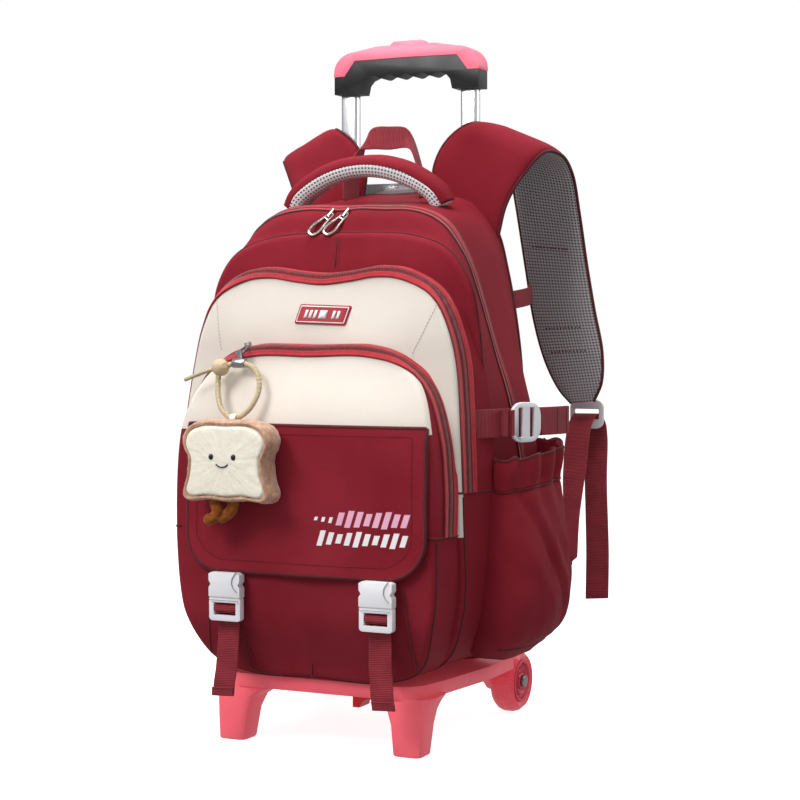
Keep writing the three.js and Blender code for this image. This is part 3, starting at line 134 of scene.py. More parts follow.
def rounded_edges(piece, width, segments=3, angle=35):
    modifier = piece.modifiers.new("rounding", "BEVEL")
    modifier.width = width * MM
    modifier.segments = segments
    modifier.limit_method = "ANGLE"
    modifier.angle_limit = math.radians(angle)
    modifier.harden_normals = False
    return piece


def tube_object(name, path, radius, material, body="bag", sides=10, closed=False, radii=None):
    path = np.asarray(path, float)
    if closed:
        tangent = np.roll(path, -1, axis=0) - np.roll(path, 1, axis=0)
    else:
        tangent = np.gradient(path, axis=0)
    tangent /= np.linalg.norm(tangent, axis=1, keepdims=True)
    normal = np.cross(tangent[0], [0.31, 0.52, 0.79])
    frames = []
    for t in tangent:
        normal = normal - t * np.dot(normal, t)
        normal = normal / np.linalg.norm(normal)
        frames.append((normal, np.cross(t, normal)))
    size = np.full(len(path), radius) if radii is None else np.asarray(radii)
    angles = np.arange(sides) * 2 * math.pi / sides
    grid = np.array([
        [p + r * (n * math.cos(a) + b * math.sin(a)) for a in angles]
        for p, r, (n, b) in zip(path, size, frames)
    ])
    faces = grid_faces(len(path), sides, wrap=True)
    points = grid.reshape(-1, 3)
    uv = np.stack([
        np.tile(angles * radius, len(path)),
        np.repeat(arc_lengths(path[:, None, :], 0)[:, 0], sides),
    ], axis=1)
    if closed:
        low = (len(path) - 1) * sides
        faces += [(low + j, low + (j + 1) % sides, (j + 1) % sides, j) for j in range(sides)]
    else:
        faces.append(tuple(range(sides))[::-1])
        faces.append(tuple(range(len(points) - sides, len(points))))
    return mesh_object(name, points, faces, material, body, uv)


def resampled(path, count, closed=False):
    """The path's line cut into points at equal distances."""
    path = np.asarray(path, float)
    if closed:
        path = np.vstack([path, path[:1]])
    length = np.concatenate([[0], np.cumsum(np.linalg.norm(np.diff(path, axis=0), axis=1))])
    wanted = np.linspace(0, length[-1], count + 1 if closed else count)
    result = np.stack([np.interp(wanted, length, path[:, k]) for k in range(path.shape[1])], axis=1)
    return result[:-1] if closed else result


def smooth_curve(points, per_segment=12, closed=False):
    """A centripetal Catmull-Rom curve through the points."""
    p = np.asarray(points, float)
    n = len(p)
    if closed:
        wanted = [(p[(i - 1) % n], p[i], p[(i + 1) % n], p[(i + 2) % n]) for i in range(n)]
    else:
        first = 2 * p[0] - p[1]
        last = 2 * p[-1] - p[-2]
        q = np.vstack([first, p, last])
        wanted = [(q[i], q[i + 1], q[i + 2], q[i + 3]) for i in range(n - 1)]
    result = []
    for a, b, c, d in wanted:
        t1 = max(np.linalg.norm(b - a), 1e-6) ** 0.5
        t2 = t1 + max(np.linalg.norm(c - b), 1e-6) ** 0.5
        t3 = t2 + max(np.linalg.norm(d - c), 1e-6) ** 0.5
        for t in np.linspace(t1, t2, per_segment, endpoint=False):
            ab = a * (t1 - t) / t1 + b * t / t1
            bc = b * (t2 - t) / (t2 - t1) + c * (t - t1) / (t2 - t1)
            cd = c * (t3 - t) / (t3 - t2) + d * (t - t2) / (t3 - t2)
            abc = ab * (t2 - t) / t2 + bc * t / t2
            bcd = bc * (t3 - t) / (t3 - t1) + cd * (t - t1) / (t3 - t1)
            result.append(abc * (t2 - t) / (t2 - t1) + bcd * (t - t1) / (t2 - t1))
    if not closed:
        result.append(p[-1])
    return np.array(result)


def soft_noise(points, size, seed=1):
    """Smooth noise from -1 to 1 at each point; size is its grain along X, Y and Z."""
    p = np.asarray(points, float) / np.asarray(size, float) + seed * 17.13
    cell = np.floor(p).astype(np.int64)
    f = p - cell
    f = f * f * (3 - 2 * f)
    total = np.zeros(p.shape[:-1])
    for corner in range(8):
        bits = np.array([corner & 1, (corner >> 1) & 1, (corner >> 2) & 1])
        h = ((cell + bits) * np.array([374761393, 668265263, 1274126177])).sum(axis=-1) + seed * 974634777
        h = (h ^ (h >> 13)) * 1103515245
        h = (h ^ (h >> 16)) & 0xFFFF
        weight = np.prod(np.where(bits, f, 1 - f), axis=-1)
        total += weight * (h / 32767.5 - 1)
    return total


# Materials

def srgb(code):
    values = [int(code[i:i + 2], 16) / 255 for i in (0, 2, 4)]
    return [v / 12.92 if v <= 0.04045 else ((v + 0.055) / 1.055) ** 2.4 for v in values] + [1.0]


class Shader:
    """A material's node tree with short ways to add the nodes that this file uses."""

    def __init__(self, name, roughness=0.5, metallic=0.0, **sockets):
        self.material = bpy.data.materials.new(name)
        self.material.use_nodes = True
        self.tree = self.material.node_tree
        self.bsdf = self.tree.nodes["Principled BSDF"]
        self.bsdf.inputs["Roughness"].default_value = roughness
        self.bsdf.inputs["Metallic"].default_value = metallic
        for key, value in sockets.items():
            self.bsdf.inputs[key.replace("_", " ")].default_value = value
        self.height = None

    def link(self, source, target):
        if hasattr(source, "links") or hasattr(source, "is_output"):
            self.tree.links.new(source, target)
        else:
            target.default_value = source

    def node(self, kind, inputs=None, **settings):
        made = self.tree.nodes.new(kind)
        for key, value in settings.items():
            setattr(made, key, value)
        for key, value in (inputs or {}).items():
            self.link(value, made.inputs[key])
        return made

    def math(self, operation, a, b=0.0):
        return self.node("ShaderNodeMath", {0: a, 1: b}, operation=operation).outputs[0]

    def uv(self):
        uv_map = self.node("ShaderNodeUVMap", uv_map="cloth")
        split = self.node("ShaderNodeSeparateXYZ", {0: uv_map.outputs[0]})
        return split.outputs[0], split.outputs[1]

    def place(self):
        return self.node("ShaderNodeTexCoord").outputs["Object"]

    def noise(self, scale, detail=3.0, vector=None, roughness=0.5):
        return self.node("ShaderNodeTexNoise", {
            "Vector": vector or self.place(), "Scale": scale, "Detail": detail, "Roughness": roughness,
        }).outputs["Fac"]

    def stretched(self, x, y, z):
        return self.node("ShaderNodeMapping", {"Vector": self.place(), "Scale": (x, y, z)}).outputs[0]

    def wave(self, value, period):
        return self.math("SINE", self.math("MULTIPLY", value, 2 * math.pi / period))

    def ramp(self, value, low, high):
        made = self.node("ShaderNodeMapRange", {0: value, 1: low, 2: high}, interpolation_type="SMOOTHSTEP")
        return made.outputs[0]

    def mix(self, factor, a, b):
        made = self.node("ShaderNodeMix", data_type="RGBA")
        self.link(factor, made.inputs[0])
        self.link(a, made.inputs[6])
        self.link(b, made.inputs[7])
        return made.outputs[2]

    def colour(self, value):
        self.link(value, self.bsdf.inputs["Base Color"])
        return self

    def rough(self, value, low, high):
        made = self.node("ShaderNodeMapRange", {0: value, 3: low, 4: high})
        self.link(made.outputs[0], self.bsdf.inputs["Roughness"])
        return self

    def bump(self, height, distance, strength=1.0):
        sockets = {"Height": height, "Distance": distance * MM, "Strength": strength}
        made = self.node("ShaderNodeBump", sockets)
        if self.height is not None:
            self.link(self.height, made.inputs["Normal"])
        self.height = made.outputs[0]
        self.link(self.height, self.bsdf.inputs["Normal"])
        return self


def nylon(name, light, dark, weave=0.55, depth=0.05, roughness=0.6, sheen=0.0):
    """Smooth coated nylon: a fine plain weave, soft colour drift and a little creasing."""
    s = Shader(name, roughness, Sheen_Weight=sheen, Sheen_Roughness=0.45, Specular_IOR_Level=0.12,
               Specular_Tint=light)
    u, v = s.uv()
    drift = s.noise(9.0, 4.0)
    grain = s.noise(900.0, 2.0)
    tone = s.math("ADD", s.math("MULTIPLY", drift, 0.75), s.math("MULTIPLY", grain, 0.25))
    s.colour(s.mix(s.ramp(tone, 0.3, 0.7), dark, light))
    s.rough(grain, roughness - 0.08, roughness + 0.1)
    threads = s.math("MULTIPLY", s.wave(u, weave), s.wave(v, weave))
    s.bump(threads, depth)
    s.bump(s.noise(26.0, 4.0, roughness=0.55), 1.2, 0.35)
    return s.material


def ribbed(name, light, dark, rib=1.5, depth=0.22, roughness=0.55):
    """Woven webbing: ribs across its width, a finer twill on them, and painted highlight and shade: crests
    painted lighter, hollows darker.
    """
    s = Shader(name, roughness, Sheen_Weight=0.08, Sheen_Roughness=0.35, Specular_IOR_Level=0.3)
    u, v = s.uv()
    ribs = s.wave(v, rib)
    twill = s.wave(s.math("ADD", u, v), 0.9)
    height = s.math("ADD", ribs, s.math("MULTIPLY", twill, 0.6))
    blotch = s.noise(55.0, 4.0)
    # Painted highlight and shade: the colour follows the ribs' height, lighter on the crests and darker in
    # the hollows, with random blotches of tone.
    tone = s.math("ADD", s.ramp(height, -1.6, 1.6), s.math("SUBTRACT", blotch, 0.5))
    s.colour(s.mix(s.ramp(tone, 0.1, 0.95), dark, light))
    s.bump(height, depth)
    return s.material


def netting(name, thread, hole, cell=3.6, depth=0.5):
    """Spacer mesh: rows of small round holes set in diamonds between raised threads, with painted shade in
    the holes.
    """
    s = Shader(name, 0.85, Sheen_Weight=0.05, Sheen_Roughness=0.5, Specular_IOR_Level=0.2)
    u, v = s.uv()
    a = s.wave(s.math("ADD", u, v), cell * 1.414)
    b = s.wave(s.math("SUBTRACT", u, v), cell * 1.414)
    holes = s.ramp(s.math("MULTIPLY", a, b), 0.12, 0.62)
    fuzz = s.noise(700.0, 3.0)
    # Painted shade: the holes are coloured dark for the shade inside them, varied by the fibre noise.
    dark = s.math("MULTIPLY", holes, s.ramp(fuzz, 0.1, 0.45))
    s.colour(s.mix(dark, thread, hole))
    s.bump(s.math("SUBTRACT", 1.0, holes), depth)
    s.bump(fuzz, 0.25)
    return s.material


def plastic(name, light, dark, roughness=0.35, speck=0.1):
    """Moulded plastic: faint flow marks, a fine eggshell texture and scuffed gloss."""
    s = Shader(name, roughness)
    s.colour(s.mix(s.ramp(s.noise(14.0, 3.0), 0.35, 0.65), dark, light))
    s.rough(s.noise(60.0, 5.0), roughness - 0.07, roughness + 0.12)
    s.bump(s.noise(2400.0, 2.0), 0.02, speck)
    s.bump(s.noise(18.0, 3.0), 0.25, 0.25)
    return s.material


def metal(name, light, dark, roughness=0.2, along=(10.0, 10.0, 0.05)):
    """Metal with fine marks drawn along one direction."""
    s = Shader(name, roughness, 1.0)
    brushed = s.noise(60.0, 2.0, s.stretched(*along))
    s.colour(s.mix(s.ramp(brushed, 0.2, 0.8), dark, light))
    s.rough(brushed, roughness - 0.03, roughness + 0.05)
    s.bump(brushed, 0.004, 0.2)
    return s.material


def plush(name, light, dark, sheen):
    """Short pile: clumped fibres that catch light at grazing angles."""
    s = Shader(name, 0.95, Sheen_Weight=sheen, Sheen_Roughness=0.4, Specular_IOR_Level=0.1)
    clumps = s.noise(160.0, 5.0, roughness=0.7)
    fibre = s.noise(1500.0, 2.0)
    s.colour(s.mix(s.ramp(s.math("ADD", s.math("MULTIPLY", clumps, 0.7), s.math("MULTIPLY", fibre, 0.3)),
                          0.35, 0.65), dark, light))
    s.bump(clumps, 1.1, 0.7)
    s.bump(fibre, 0.3, 0.6)
    return s.material


def tyre_material():
    s = Shader("clear_tyre", 0.16, IOR=1.45, Transmission_Weight=0.3)
    s.colour(s.mix(s.ramp(s.noise(30.0, 3.0), 0.3, 0.7), srgb("ff7284"), srgb("ff5a6e")))
    glitter = s.ramp(s.noise(1800.0, 1.0), 0.62, 0.7)
    s.rough(glitter, 0.12, 0.5)
    s.bump(s.noise(700.0, 2.0), 0.15, 0.5)
    return s.material


def zip_cloth(name, edge=0.5, coil_half=0.15):
    """Zip band across a gusset: two bright tapes and between them the darker coil with its teeth.
    The attribute band runs from 0 to 1 across it."""
    s = Shader(name, 0.5, Sheen_Weight=0.3, Sheen_Roughness=0.4, Specular_IOR_Level=0.4)
    u, _ = s.uv()
    band = s.node("ShaderNodeAttribute", attribute_name="band").outputs["Fac"]
    middle = s.math("ABSOLUTE", s.math("SUBTRACT", band, 0.5))
    inside = s.math("SUBTRACT", 1.0, s.ramp(middle, coil_half - 0.02, coil_half + 0.02))
    seam = s.math("MULTIPLY", s.ramp(middle, coil_half, coil_half + 0.02),
                  s.math("SUBTRACT", 1.0, s.ramp(middle, coil_half + 0.05, coil_half + 0.08)))
    seam = s.math("MAXIMUM", seam, s.ramp(middle, edge - 0.05, edge))
    teeth = s.wave(u, 1.5)
    rib = s.wave(u, 0.7)
    tape = s.mix(s.ramp(s.noise(200.0, 3.0), 0.3, 0.7), srgb("a80b20"), srgb("be1026"))
    # Painted highlight and shade: the coil is lighter on each tooth's crest and darker between the teeth,
    # following the teeth's bump.
    coil = s.mix(s.ramp(teeth, -0.6, 0.9), srgb("6a0c17"), srgb("93121f"))
    base = s.mix(inside, tape, coil)
    s.colour(s.mix(seam, base, srgb("3a040a")))
    height = s.math("ADD", s.math("MULTIPLY", inside, teeth), s.math("MULTIPLY", rib, 0.2))
    s.bump(height, 0.35)
    return s.material


WINE = nylon("wine_cloth", srgb("922c38"), srgb("80202b"))
CREAM = nylon("cream_cloth", srgb("eae1d7"), srgb("e2d8cd"), roughness=0.62, sheen=0.02)
WEBBING = ribbed("webbing", srgb("b23643"), srgb("7d1a27"))
ZIP = zip_cloth("red_zip")
MAIN_ZIP = zip_cloth("red_zip_narrow", 0.4, 0.06)
BINDING = ribbed("wine_binding", srgb("6e1420"), srgb("480a13"), 1.0, 0.12)
THREAD = ribbed("wine_thread", srgb("7a1a28"), srgb("4a0a14"), 0.6, 0.05)
GREY_NET = netting("grey_mesh", srgb("dddbdc"), srgb("5f5c63"), 4.6)
# Painted shade: the shoulder pads' mesh is the grey mesh in darker colours, for the shade on the straps'
# inner side.
SHADED_PAD_NET = netting("pad_mesh_painted_shade", srgb("aeaaac"), srgb("353237"), 4.2)
PINK = plastic("pink_plastic", srgb("ff6a78"), srgb("fb5f70"), 0.36)
PINK_HANDLE = plastic("pink_handle", srgb("ff7d95"), srgb("fb748d"), 0.38)
TYRE = tyre_material()
# Painted light: the coral tray, handle and tyre materials glow faintly, though they are no lamps, since
# without it they render duller than the real coral parts.
for painted_glow_material, tint, strength in ((PINK, (1.0, 0.13, 0.17, 1.0), 0.1), (PINK_HANDLE, (1.0, 0.2, 0.3, 1.0), 0.08),
                             (TYRE, (1.0, 0.08, 0.12, 1.0), 0.05)):
    shader = painted_glow_material.node_tree.nodes["Principled BSDF"]
    shader.inputs["Emission Color"].default_value = tint
    shader.inputs["Emission Strength"].default_value = strength
RED_PLASTIC = plastic("red_plastic", srgb("f8232e"), srgb("d8141f"), 0.3)
BLACK = plastic("black_plastic", srgb("101012"), srgb("08080a"), 0.42, 0.5)
WHITE = plastic("white_plastic", srgb("f0eff4"), srgb("e8e6ed"), 0.34)
ALUMINIUM = metal("aluminium", srgb("e3e4e6"), srgb("cfd0d3"), 0.24)
STEEL = metal("bolt_steel", srgb("b4b5b8"), srgb("8e9094"), 0.3, (20.0, 20.0, 20.0))
CHROME = metal("zip_metal", srgb("dedbd4"), srgb("bdb9b1"), 0.13, (20.0, 20.0, 20.0))


# Camera, light and floor

# The camera fitted to the photo: its place, its turn, and its focal length in the photo's pixels
CAMERA_AT = [757.1, -1646.3, 370.0]
CAMERA_TURN = (math.radians(90 - 2.255), 0.0, math.radians(25.0))
CAMERA_LENS = 84.56
FOCAL_PIXELS = 1879.0
PHOTO_MIDDLE = 400
# The floor's half width in metres and its glow, and how strongly the world lights the object
FLOOR_REACH = 9.0
FLOOR_GLOW = 0.86
WORLD_LIGHT = 0.42
WHITE_LIGHT = (1.0, 1.0, 1.0, 1.0)


def make_stage():
    """Sets the camera, a pale floor, a world that is white to the camera, and lamps."""
    data = bpy.data.cameras.new("camera")
    data.lens = CAMERA_LENS
    data.sensor_width = 36.0
    data.clip_start = 0.05
    data.clip_end = 50.0
    camera = bpy.data.objects.new("camera", data)
    camera.location = metres(CAMERA_AT)
    camera.rotation_euler = CAMERA_TURN
    bpy.context.scene.collection.objects.link(camera)
    bpy.context.scene.camera = camera
    s = Shader("pale_floor", 0.55)
    s.colour(s.mix(s.noise(0.6, 2.0), srgb("c4c4c4"), srgb("c8c8c8")))
    s.bsdf.inputs["Emission Color"].default_value = WHITE_LIGHT
    s.bsdf.inputs["Emission Strength"].default_value = FLOOR_GLOW
    mesh = bpy.data.meshes.new("floor")
    corners = [(x * FLOOR_REACH, y * FLOOR_REACH, 0) for x, y in ((-1, -1), (1, -1), (1, 1), (-1, 1))]
    mesh.from_pydata(corners, [], [(0, 1, 2, 3)])
    mesh.materials.append(s.material)
    floor = bpy.data.objects.new("floor", mesh)
    bpy.context.scene.collection.objects.link(floor)
    floor.visible_diffuse = False
    floor.visible_glossy = False
    world = bpy.data.worlds.new("studio")
    world.use_nodes = True
    background = world.node_tree.nodes["Background"]
    background.inputs["Color"].default_value = WHITE_LIGHT
    background.inputs["Strength"].default_value = WORLD_LIGHT
    backdrop = world.node_tree.nodes.new("ShaderNodeBackground")
    backdrop.inputs["Color"].default_value = WHITE_LIGHT
    path = world.node_tree.nodes.new("ShaderNodeLightPath")
    both = world.node_tree.nodes.new("ShaderNodeMixShader")
    output = world.node_tree.nodes["World Output"]
    for source, target in ((path.outputs["Is Camera Ray"], both.inputs[0]),
                           (background.outputs[0], both.inputs[1]),
                           (backdrop.outputs[0], both.inputs[2]), (both.outputs[0], output.inputs[0])):
        world.node_tree.links.new(source, target)
    bpy.context.scene.world = world
    bpy.context.scene.view_settings.view_transform = "Standard"
    lights = [
        ("key", (-0.9, -1.7, 2.0), 1.1, 44.0), ("fill", (1.9, -1.9, 1.4), 1.6, 3.0),
        ("top", (0.1, -0.2, 2.2), 1.4, 36.0), ("rim", (1.4, 1.6, 1.3), 1.2, 9.0),
    ]
    for name, place, size, power in lights:
        light = bpy.data.lights.new(name, "AREA")
        light.size = size
        light.energy = power
        lamp = bpy.data.objects.new(name, light)
        lamp.location = place
        lamp.rotation_euler = (Vector((0, 0, 0.3)) - Vector(place)).to_track_quat("-Z", "Y").to_euler()
        bpy.context.scene.collection.objects.link(lamp)


make_stage()

# The bag's layers, with the same tables as the part's source

BAG_BOTTOM = 61.4
BAG_HEIGHT = 433.0
BAG_DEPTH = 210.0
BACK_PANEL = 12.0
MAIN_TOP = 476.0
DEPTHS = {
    "height": [0.0, 0.14, 0.49, 0.67, 0.83, 0.92, 1.0],
    "zip": [0.276, 0.29, 0.31, 0.43, 0.52, 0.56, 0.585],
    "face": [0.505, 0.56, 0.635, 0.655, 0.675, 0.665, 0.65],
    "upper": [0.73, 0.79, 0.83, 0.8, 0.775, 0.755, 0.74],
    "lower": [0.9, 0.98, 0.975, 0.89, 0.87, 0.87, 0.87],
}
WAIST = [(0, 0), (.45, 0), (.74, .022), (.92, .1), (.985, .24), (1, .42), (.965, .57), (.9, .68),
         (.83, .8), (.75, .9), (.63, .965), (.42, .995), (0, 1)]
BACK = [(0, 0), (.5, 0), (.84, .04), (.98, .14), (1, .35), (.985, .55), (.95, .68), (.86, .83),
        (.77, .92), (.6, .98), (.35, 1), (0, 1)]
FACE = [(0, 0), (.5, 0), (.8, .035), (.95, .13), (1, .35), (.98, .62), (.95, .78), (.9, .88),
        (.76, .955), (.52, .99), (0, 1)]
UPPER = [(0, 0), (.5, 0), (.8, .04), (.96, .15), (1, .42), (.98, .66), (.9, .84), (.78, .94),
         (.58, .99), (.4, 1), (.2, .99), (0, .983)]
LOWER = [(0, 0), (.5, 0), (.8, .045), (.95, .18), (1, .42), (.97, .73), (.86, .88), (.67, .965),
         (.45, .998), (0, 1)]
# How many points a ring has, and how many rings the main compartment has in each of its stretches
ROUND = 320
PANEL_RINGS = 14
TURN_RINGS = 5
WAIST_RINGS = 10
ZIP_RINGS = 10
FRONT_RINGS = 12


def layer_y(column, z):
    """How far forward a layer stands at a height, from the table of depths."""
    share = (np.asarray(z, float) - BAG_BOTTOM) / BAG_HEIGHT
    heights = DEPTHS["height"]
    values = DEPTHS[column]
    share = np.clip(share, 0, 1)
    k = np.clip(np.searchsorted(heights, share, side="right") - 1, 0, len(heights) - 2)
    low, high = np.take(heights, k), np.take(heights, k + 1)
    t = (share - low) / (high - low)
    t = t * t * (3 - 2 * t)
    return -BACK_PANEL - BAG_DEPTH * (np.take(values, k) * (1 - t) + np.take(values, k + 1) * t)


def outline(rows, half, low, high):
    """A layer's outline from the front, from shares of its half width and height."""
    right = [(a * half, low + b * (high - low)) for a, b in rows]
    left = [(-x, z) for x, z in right[-2:0:-1]]
    return resampled(smooth_curve(right + left, 24, closed=True), ROUND, closed=True)


def ring(shape, inset, depth, share=1.0):
    """An outline drawn in by an inset and scaled by a share, at a depth for each height."""
    cz = (shape[:, 1].min() + shape[:, 1].max()) / 2
    r = np.hypot(shape[:, 0], shape[:, 1] - cz)
    k = share * (1 - inset / r)
    x = shape[:, 0] * k
    z = cz + (shape[:, 1] - cz) * k
    return np.stack([x, np.broadcast_to(depth(z), x.shape), z], axis=1)


def between(a, b, c, d, count):
    """Rings on a smooth path from b towards c."""
    rings = []
    for t in np.linspace(0, 1, count, endpoint=False):
        rings.append(0.5 * (2 * b + (c - a) * t + (2 * a - 5 * b + 4 * c - d) * t ** 2
                            + (3 * b - a - 3 * c + d) * t ** 3))
    return rings


def panel_rings(shape, edge, crown, count=34, rolled=5.0):
    """A stuffed panel: it rolls over at its seam and stands out in its middle."""
    rings = []
    size = np.hypot(*(shape.max(axis=0) - shape.min(axis=0))) / 2.4
    for share in 1 - np.linspace(0, 1, count) ** 1.5 * 0.985:
        away = (1 - share) * size
        roll = rolled * (1 - math.sqrt(max(0.0, 1 - (1 - min(away / rolled, 1.0)) ** 2)))
        lift = crown * (1 - share ** 2.2)
        rings.append(ring(shape, 0, lambda z: edge(z) + roll - lift, share))
    return rings


def creased(grid, wrap, zones):
    """Adds folds along the normals: each zone is (weight per ring, grain, height, seed)."""
    normal = grid_normals(grid, wrap)
    lift = np.zeros(grid.shape[:2])
    for weight, grain, height, seed in zones:
        lift += np.asarray(weight)[:, None] * height * soft_noise(grid, grain, seed)
    return grid + normal * lift[..., None]


def fade(rows, start, stop):
    """Weights by ring that rise from 0 at start to 1 and fall to 0 again at stop."""
    i = np.arange(rows)
    t = np.clip((i - start) / max(stop - start, 1), 0, 1)
    return np.where((i >= start) & (i <= stop), np.sin(math.pi * t) ** 0.6, 0.0)


def pocket_grid(shape, behind, front, crown, wider, gusset=14):
    """A pocket's rings: its gusset narrows from the layer behind to the panel, which sits a little left."""
    back = lambda z: layer_y(behind, z) + 6
    edge = lambda z: layer_y(front, z)
    shares = np.linspace(0, 1, gusset, endpoint=False)
    side = [ring(shape, 0, lambda z: back(z) * (1 - t) + (edge(z) + 5) * t) for t in shares]
    grid = np.array(side + panel_rings(shape, edge, crown))
    t = np.ones(len(grid))
    t[:gusset] = shares
    slope = np.clip((shape[:, 1] - shape[:, 1].min()) / 120, 0, 1)[None, :]
    widen = wider * (1 - t)[:, None] * slope - 0.034 * t[:, None]
    grid[:, :, 0] = grid[:, :, 0] * (1 + widen) - 4.0 * t[:, None] * slope
    return grid, gusset


def main_grid():
    """The main compartment's rings: back panel, turn, sides with the zip's ring, and front."""
    waist = outline(WAIST, 148, BAG_BOTTOM, MAIN_TOP + 8)
    zip_shape = outline(WAIST, 148 * 0.985, BAG_BOTTOM + 1, MAIN_TOP)
    back_shape = outline(BACK, 126, BAG_BOTTOM + 4, BAG_BOTTOM + BAG_HEIGHT)
    face_shape = outline(FACE, 140, BAG_BOTTOM + 5, 453)
    flat = lambda z: -BACK_PANEL + 0 * z
    back_panel = [ring(back_shape, 0, flat, share) for share in np.linspace(0.02, 0.95, PANEL_RINGS)]
    turn = [ring(back_shape, 6 * (1 - math.sin(a)), lambda z: -BACK_PANEL - 9 * (1 - math.cos(a)) + 0 * z)
            for a in np.linspace(0.2, math.pi / 2, TURN_RINGS)]
    back_ring = ring(back_shape, 0, lambda z: -BACK_PANEL - 9 + 0 * z)
    waist_ring = ring(waist, 0, lambda z: (layer_y("zip", z) - BACK_PANEL) / 2)
    zip_ring = ring(zip_shape, 0, lambda z: layer_y("zip", z))
    face_ring = ring(face_shape, 0, lambda z: layer_y("face", z) + 5)
    before = 2 * back_ring - waist_ring
    after = 2 * face_ring - zip_ring
    side = between(before, back_ring, waist_ring, zip_ring, WAIST_RINGS)
    side += between(back_ring, waist_ring, zip_ring, face_ring, ZIP_RINGS)
    side += between(waist_ring, zip_ring, face_ring, after, FRONT_RINGS)
    front = panel_rings(face_shape, lambda z: layer_y("face", z), 9)
    grid = np.array(back_panel + turn + side + front)
    back_mark = PANEL_RINGS + TURN_RINGS
    zip_mark = back_mark + WAIST_RINGS + ZIP_RINGS
    marks = {"back": back_mark, "zip": zip_mark, "face": zip_mark + FRONT_RINGS}
    return grid, marks


def surface_tree(grid, wrap=True):
    faces = grid_faces(grid.shape[0], grid.shape[1], wrap)
    return BVHTree.FromPolygons([Vector(p) for p in grid.reshape(-1, 3)], faces)


def cast_front(tree, x, z):
    """Where a line along +Y at (x, z) first meets a surface, and the surface's normal there."""
    place, normal, _, _ = tree.ray_cast(Vector((x, -600, z)), Vector((0, 1, 0)))
    if place is None:
        return None, None
    if normal.y > 0:
        normal = -normal
    return np.array(place), np.array(normal)


def zip_range(grid, row, low):
    """The columns of a ring that lie above a height, in order from the right over the top to the left."""
    return [j for j in range(ROUND) if grid[row, j, 2] >= low]


def strip_by_distance(grid, row, columns, side_range, top_range, count=27, even_over=1):
    """A strip of the surface between two distances from a ring, measured along each column. The
    distances go from side_range where the ring runs up the bag's sides to top_range on its top."""
    ring_line = grid[row, columns]
    tangent = np.gradient(ring_line, axis=0)
    tangent /= np.linalg.norm(tangent, axis=1, keepdims=True)
    top = np.clip((np.abs(tangent[:, 0]) - 0.35) / 0.5, 0, 1)
    kernel = np.hanning(41)
    top = np.convolve(np.pad(top, 20, mode="edge"), kernel / kernel.sum(), mode="valid")
    kernel = np.hanning(even_over + 2)
    padded = np.pad(ring_line[:, 1], even_over // 2, mode="reflect", reflect_type="odd")
    shift = ring_line[:, 1] - np.convolve(padded, kernel[1:-1] / kernel.sum(), mode="valid")
    strip = np.zeros((count, len(columns), 3))
    for k, j in enumerate(columns):
        line = grid[:, j]
        s = np.concatenate([[0], np.cumsum(np.linalg.norm(np.diff(line, axis=0), axis=1))])
        s -= s[row]
        first = side_range[0] * (1 - top[k]) + top_range[0] * top[k]
        last = side_range[1] * (1 - top[k]) + top_range[1] * top[k]
        wanted = np.linspace(first, last, count) + shift[k]
        strip[:, k] = np.stack([np.interp(wanted, s, line[:, axis]) for axis in range(3)], axis=1)
    return strip


def band_object(name, strip, profile, node, material):
    """A zip band on a strip of surface, rings across it and columns along it."""
    rows, cols = strip.shape[:2]
    normal = grid_normals(strip)
    outward = strip - strip.mean(axis=(0, 1))
    if (normal * outward).sum() < 0:
        normal = -normal
    share = np.linspace(0, 1, rows)
    lift = np.interp(share, *zip(*profile))
    grid = strip + normal * lift[:, None, None]
    band = np.repeat(share[:, None], cols, axis=1)
    piece = grid_object(name, grid, material, attributes={"band": band})
    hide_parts(node)


ZIP_PROFILE = [(0, 0.2), (0.03, 1.9), (0.08, 2.2), (0.14, 1.4), (0.28, 1.1), (0.35, 0.3), (0.4, 1.6),
               (0.5, 2.0), (0.6, 1.6), (0.65, 0.3), (0.72, 1.1), (0.86, 1.4), (0.92, 2.0), (0.97, 1.7),
               (1, 0.2)]


def stitch_row(name, path, normals, pitch=3.4, length=2.3, radius=0.38, material=THREAD):
    """A row of sewn stitches along a path, each a short thread that dips at both ends."""
    path = np.asarray(path, float)
    gaps = np.linalg.norm(np.diff(path, axis=0), axis=1)
    count = max(2, int(gaps.sum() / pitch))
    points = resampled(path, count)
    out = resampled(np.asarray(normals, float), count)
    verts, faces = [], []
    for i in range(count - 1):
        along = points[i + 1] - points[i]
        if np.linalg.norm(along) < 1e-6:
            continue
        along = along / np.linalg.norm(along)
        up = out[i] - along * np.dot(out[i], along)
        up = up / max(np.linalg.norm(up), 1e-9)
        side = np.cross(along, up)
        start = len(verts)
        for t, lift, size in ((-0.5, -0.35, 0.5), (-0.3, 0.25, 1.0), (0.3, 0.25, 1.0), (0.5, -0.35, 0.5)):
            centre = points[i] + along * length * t + up * lift * radius * 2
            for a in range(5):
                angle = a * 2 * math.pi / 5
                verts.append(centre + radius * size * (side * math.cos(angle) + up * math.sin(angle)))
        for r in range(3):
            for a in range(5):
                b = (a + 1) % 5
                low = start + r * 5
                faces.append((low + a, low + b, low + 5 + b, low + 5 + a))
    return mesh_object(name, verts, faces, material, uv=np.zeros((len(verts), 2)))


MAIN, MAIN_MARKS = main_grid()
UPPER_SHAPE = outline(UPPER, 141, BAG_BOTTOM + 3, 421)
LOWER_SHAPE = outline(LOWER, 131, BAG_BOTTOM + 1.5, 352)
UPPER_GRID, UPPER_EDGE = pocket_grid(UPPER_SHAPE, "face", "upper", 9, 0.022)
LOWER_GRID, LOWER_EDGE = pocket_grid(LOWER_SHAPE, "upper", "lower", 7, -0.012)


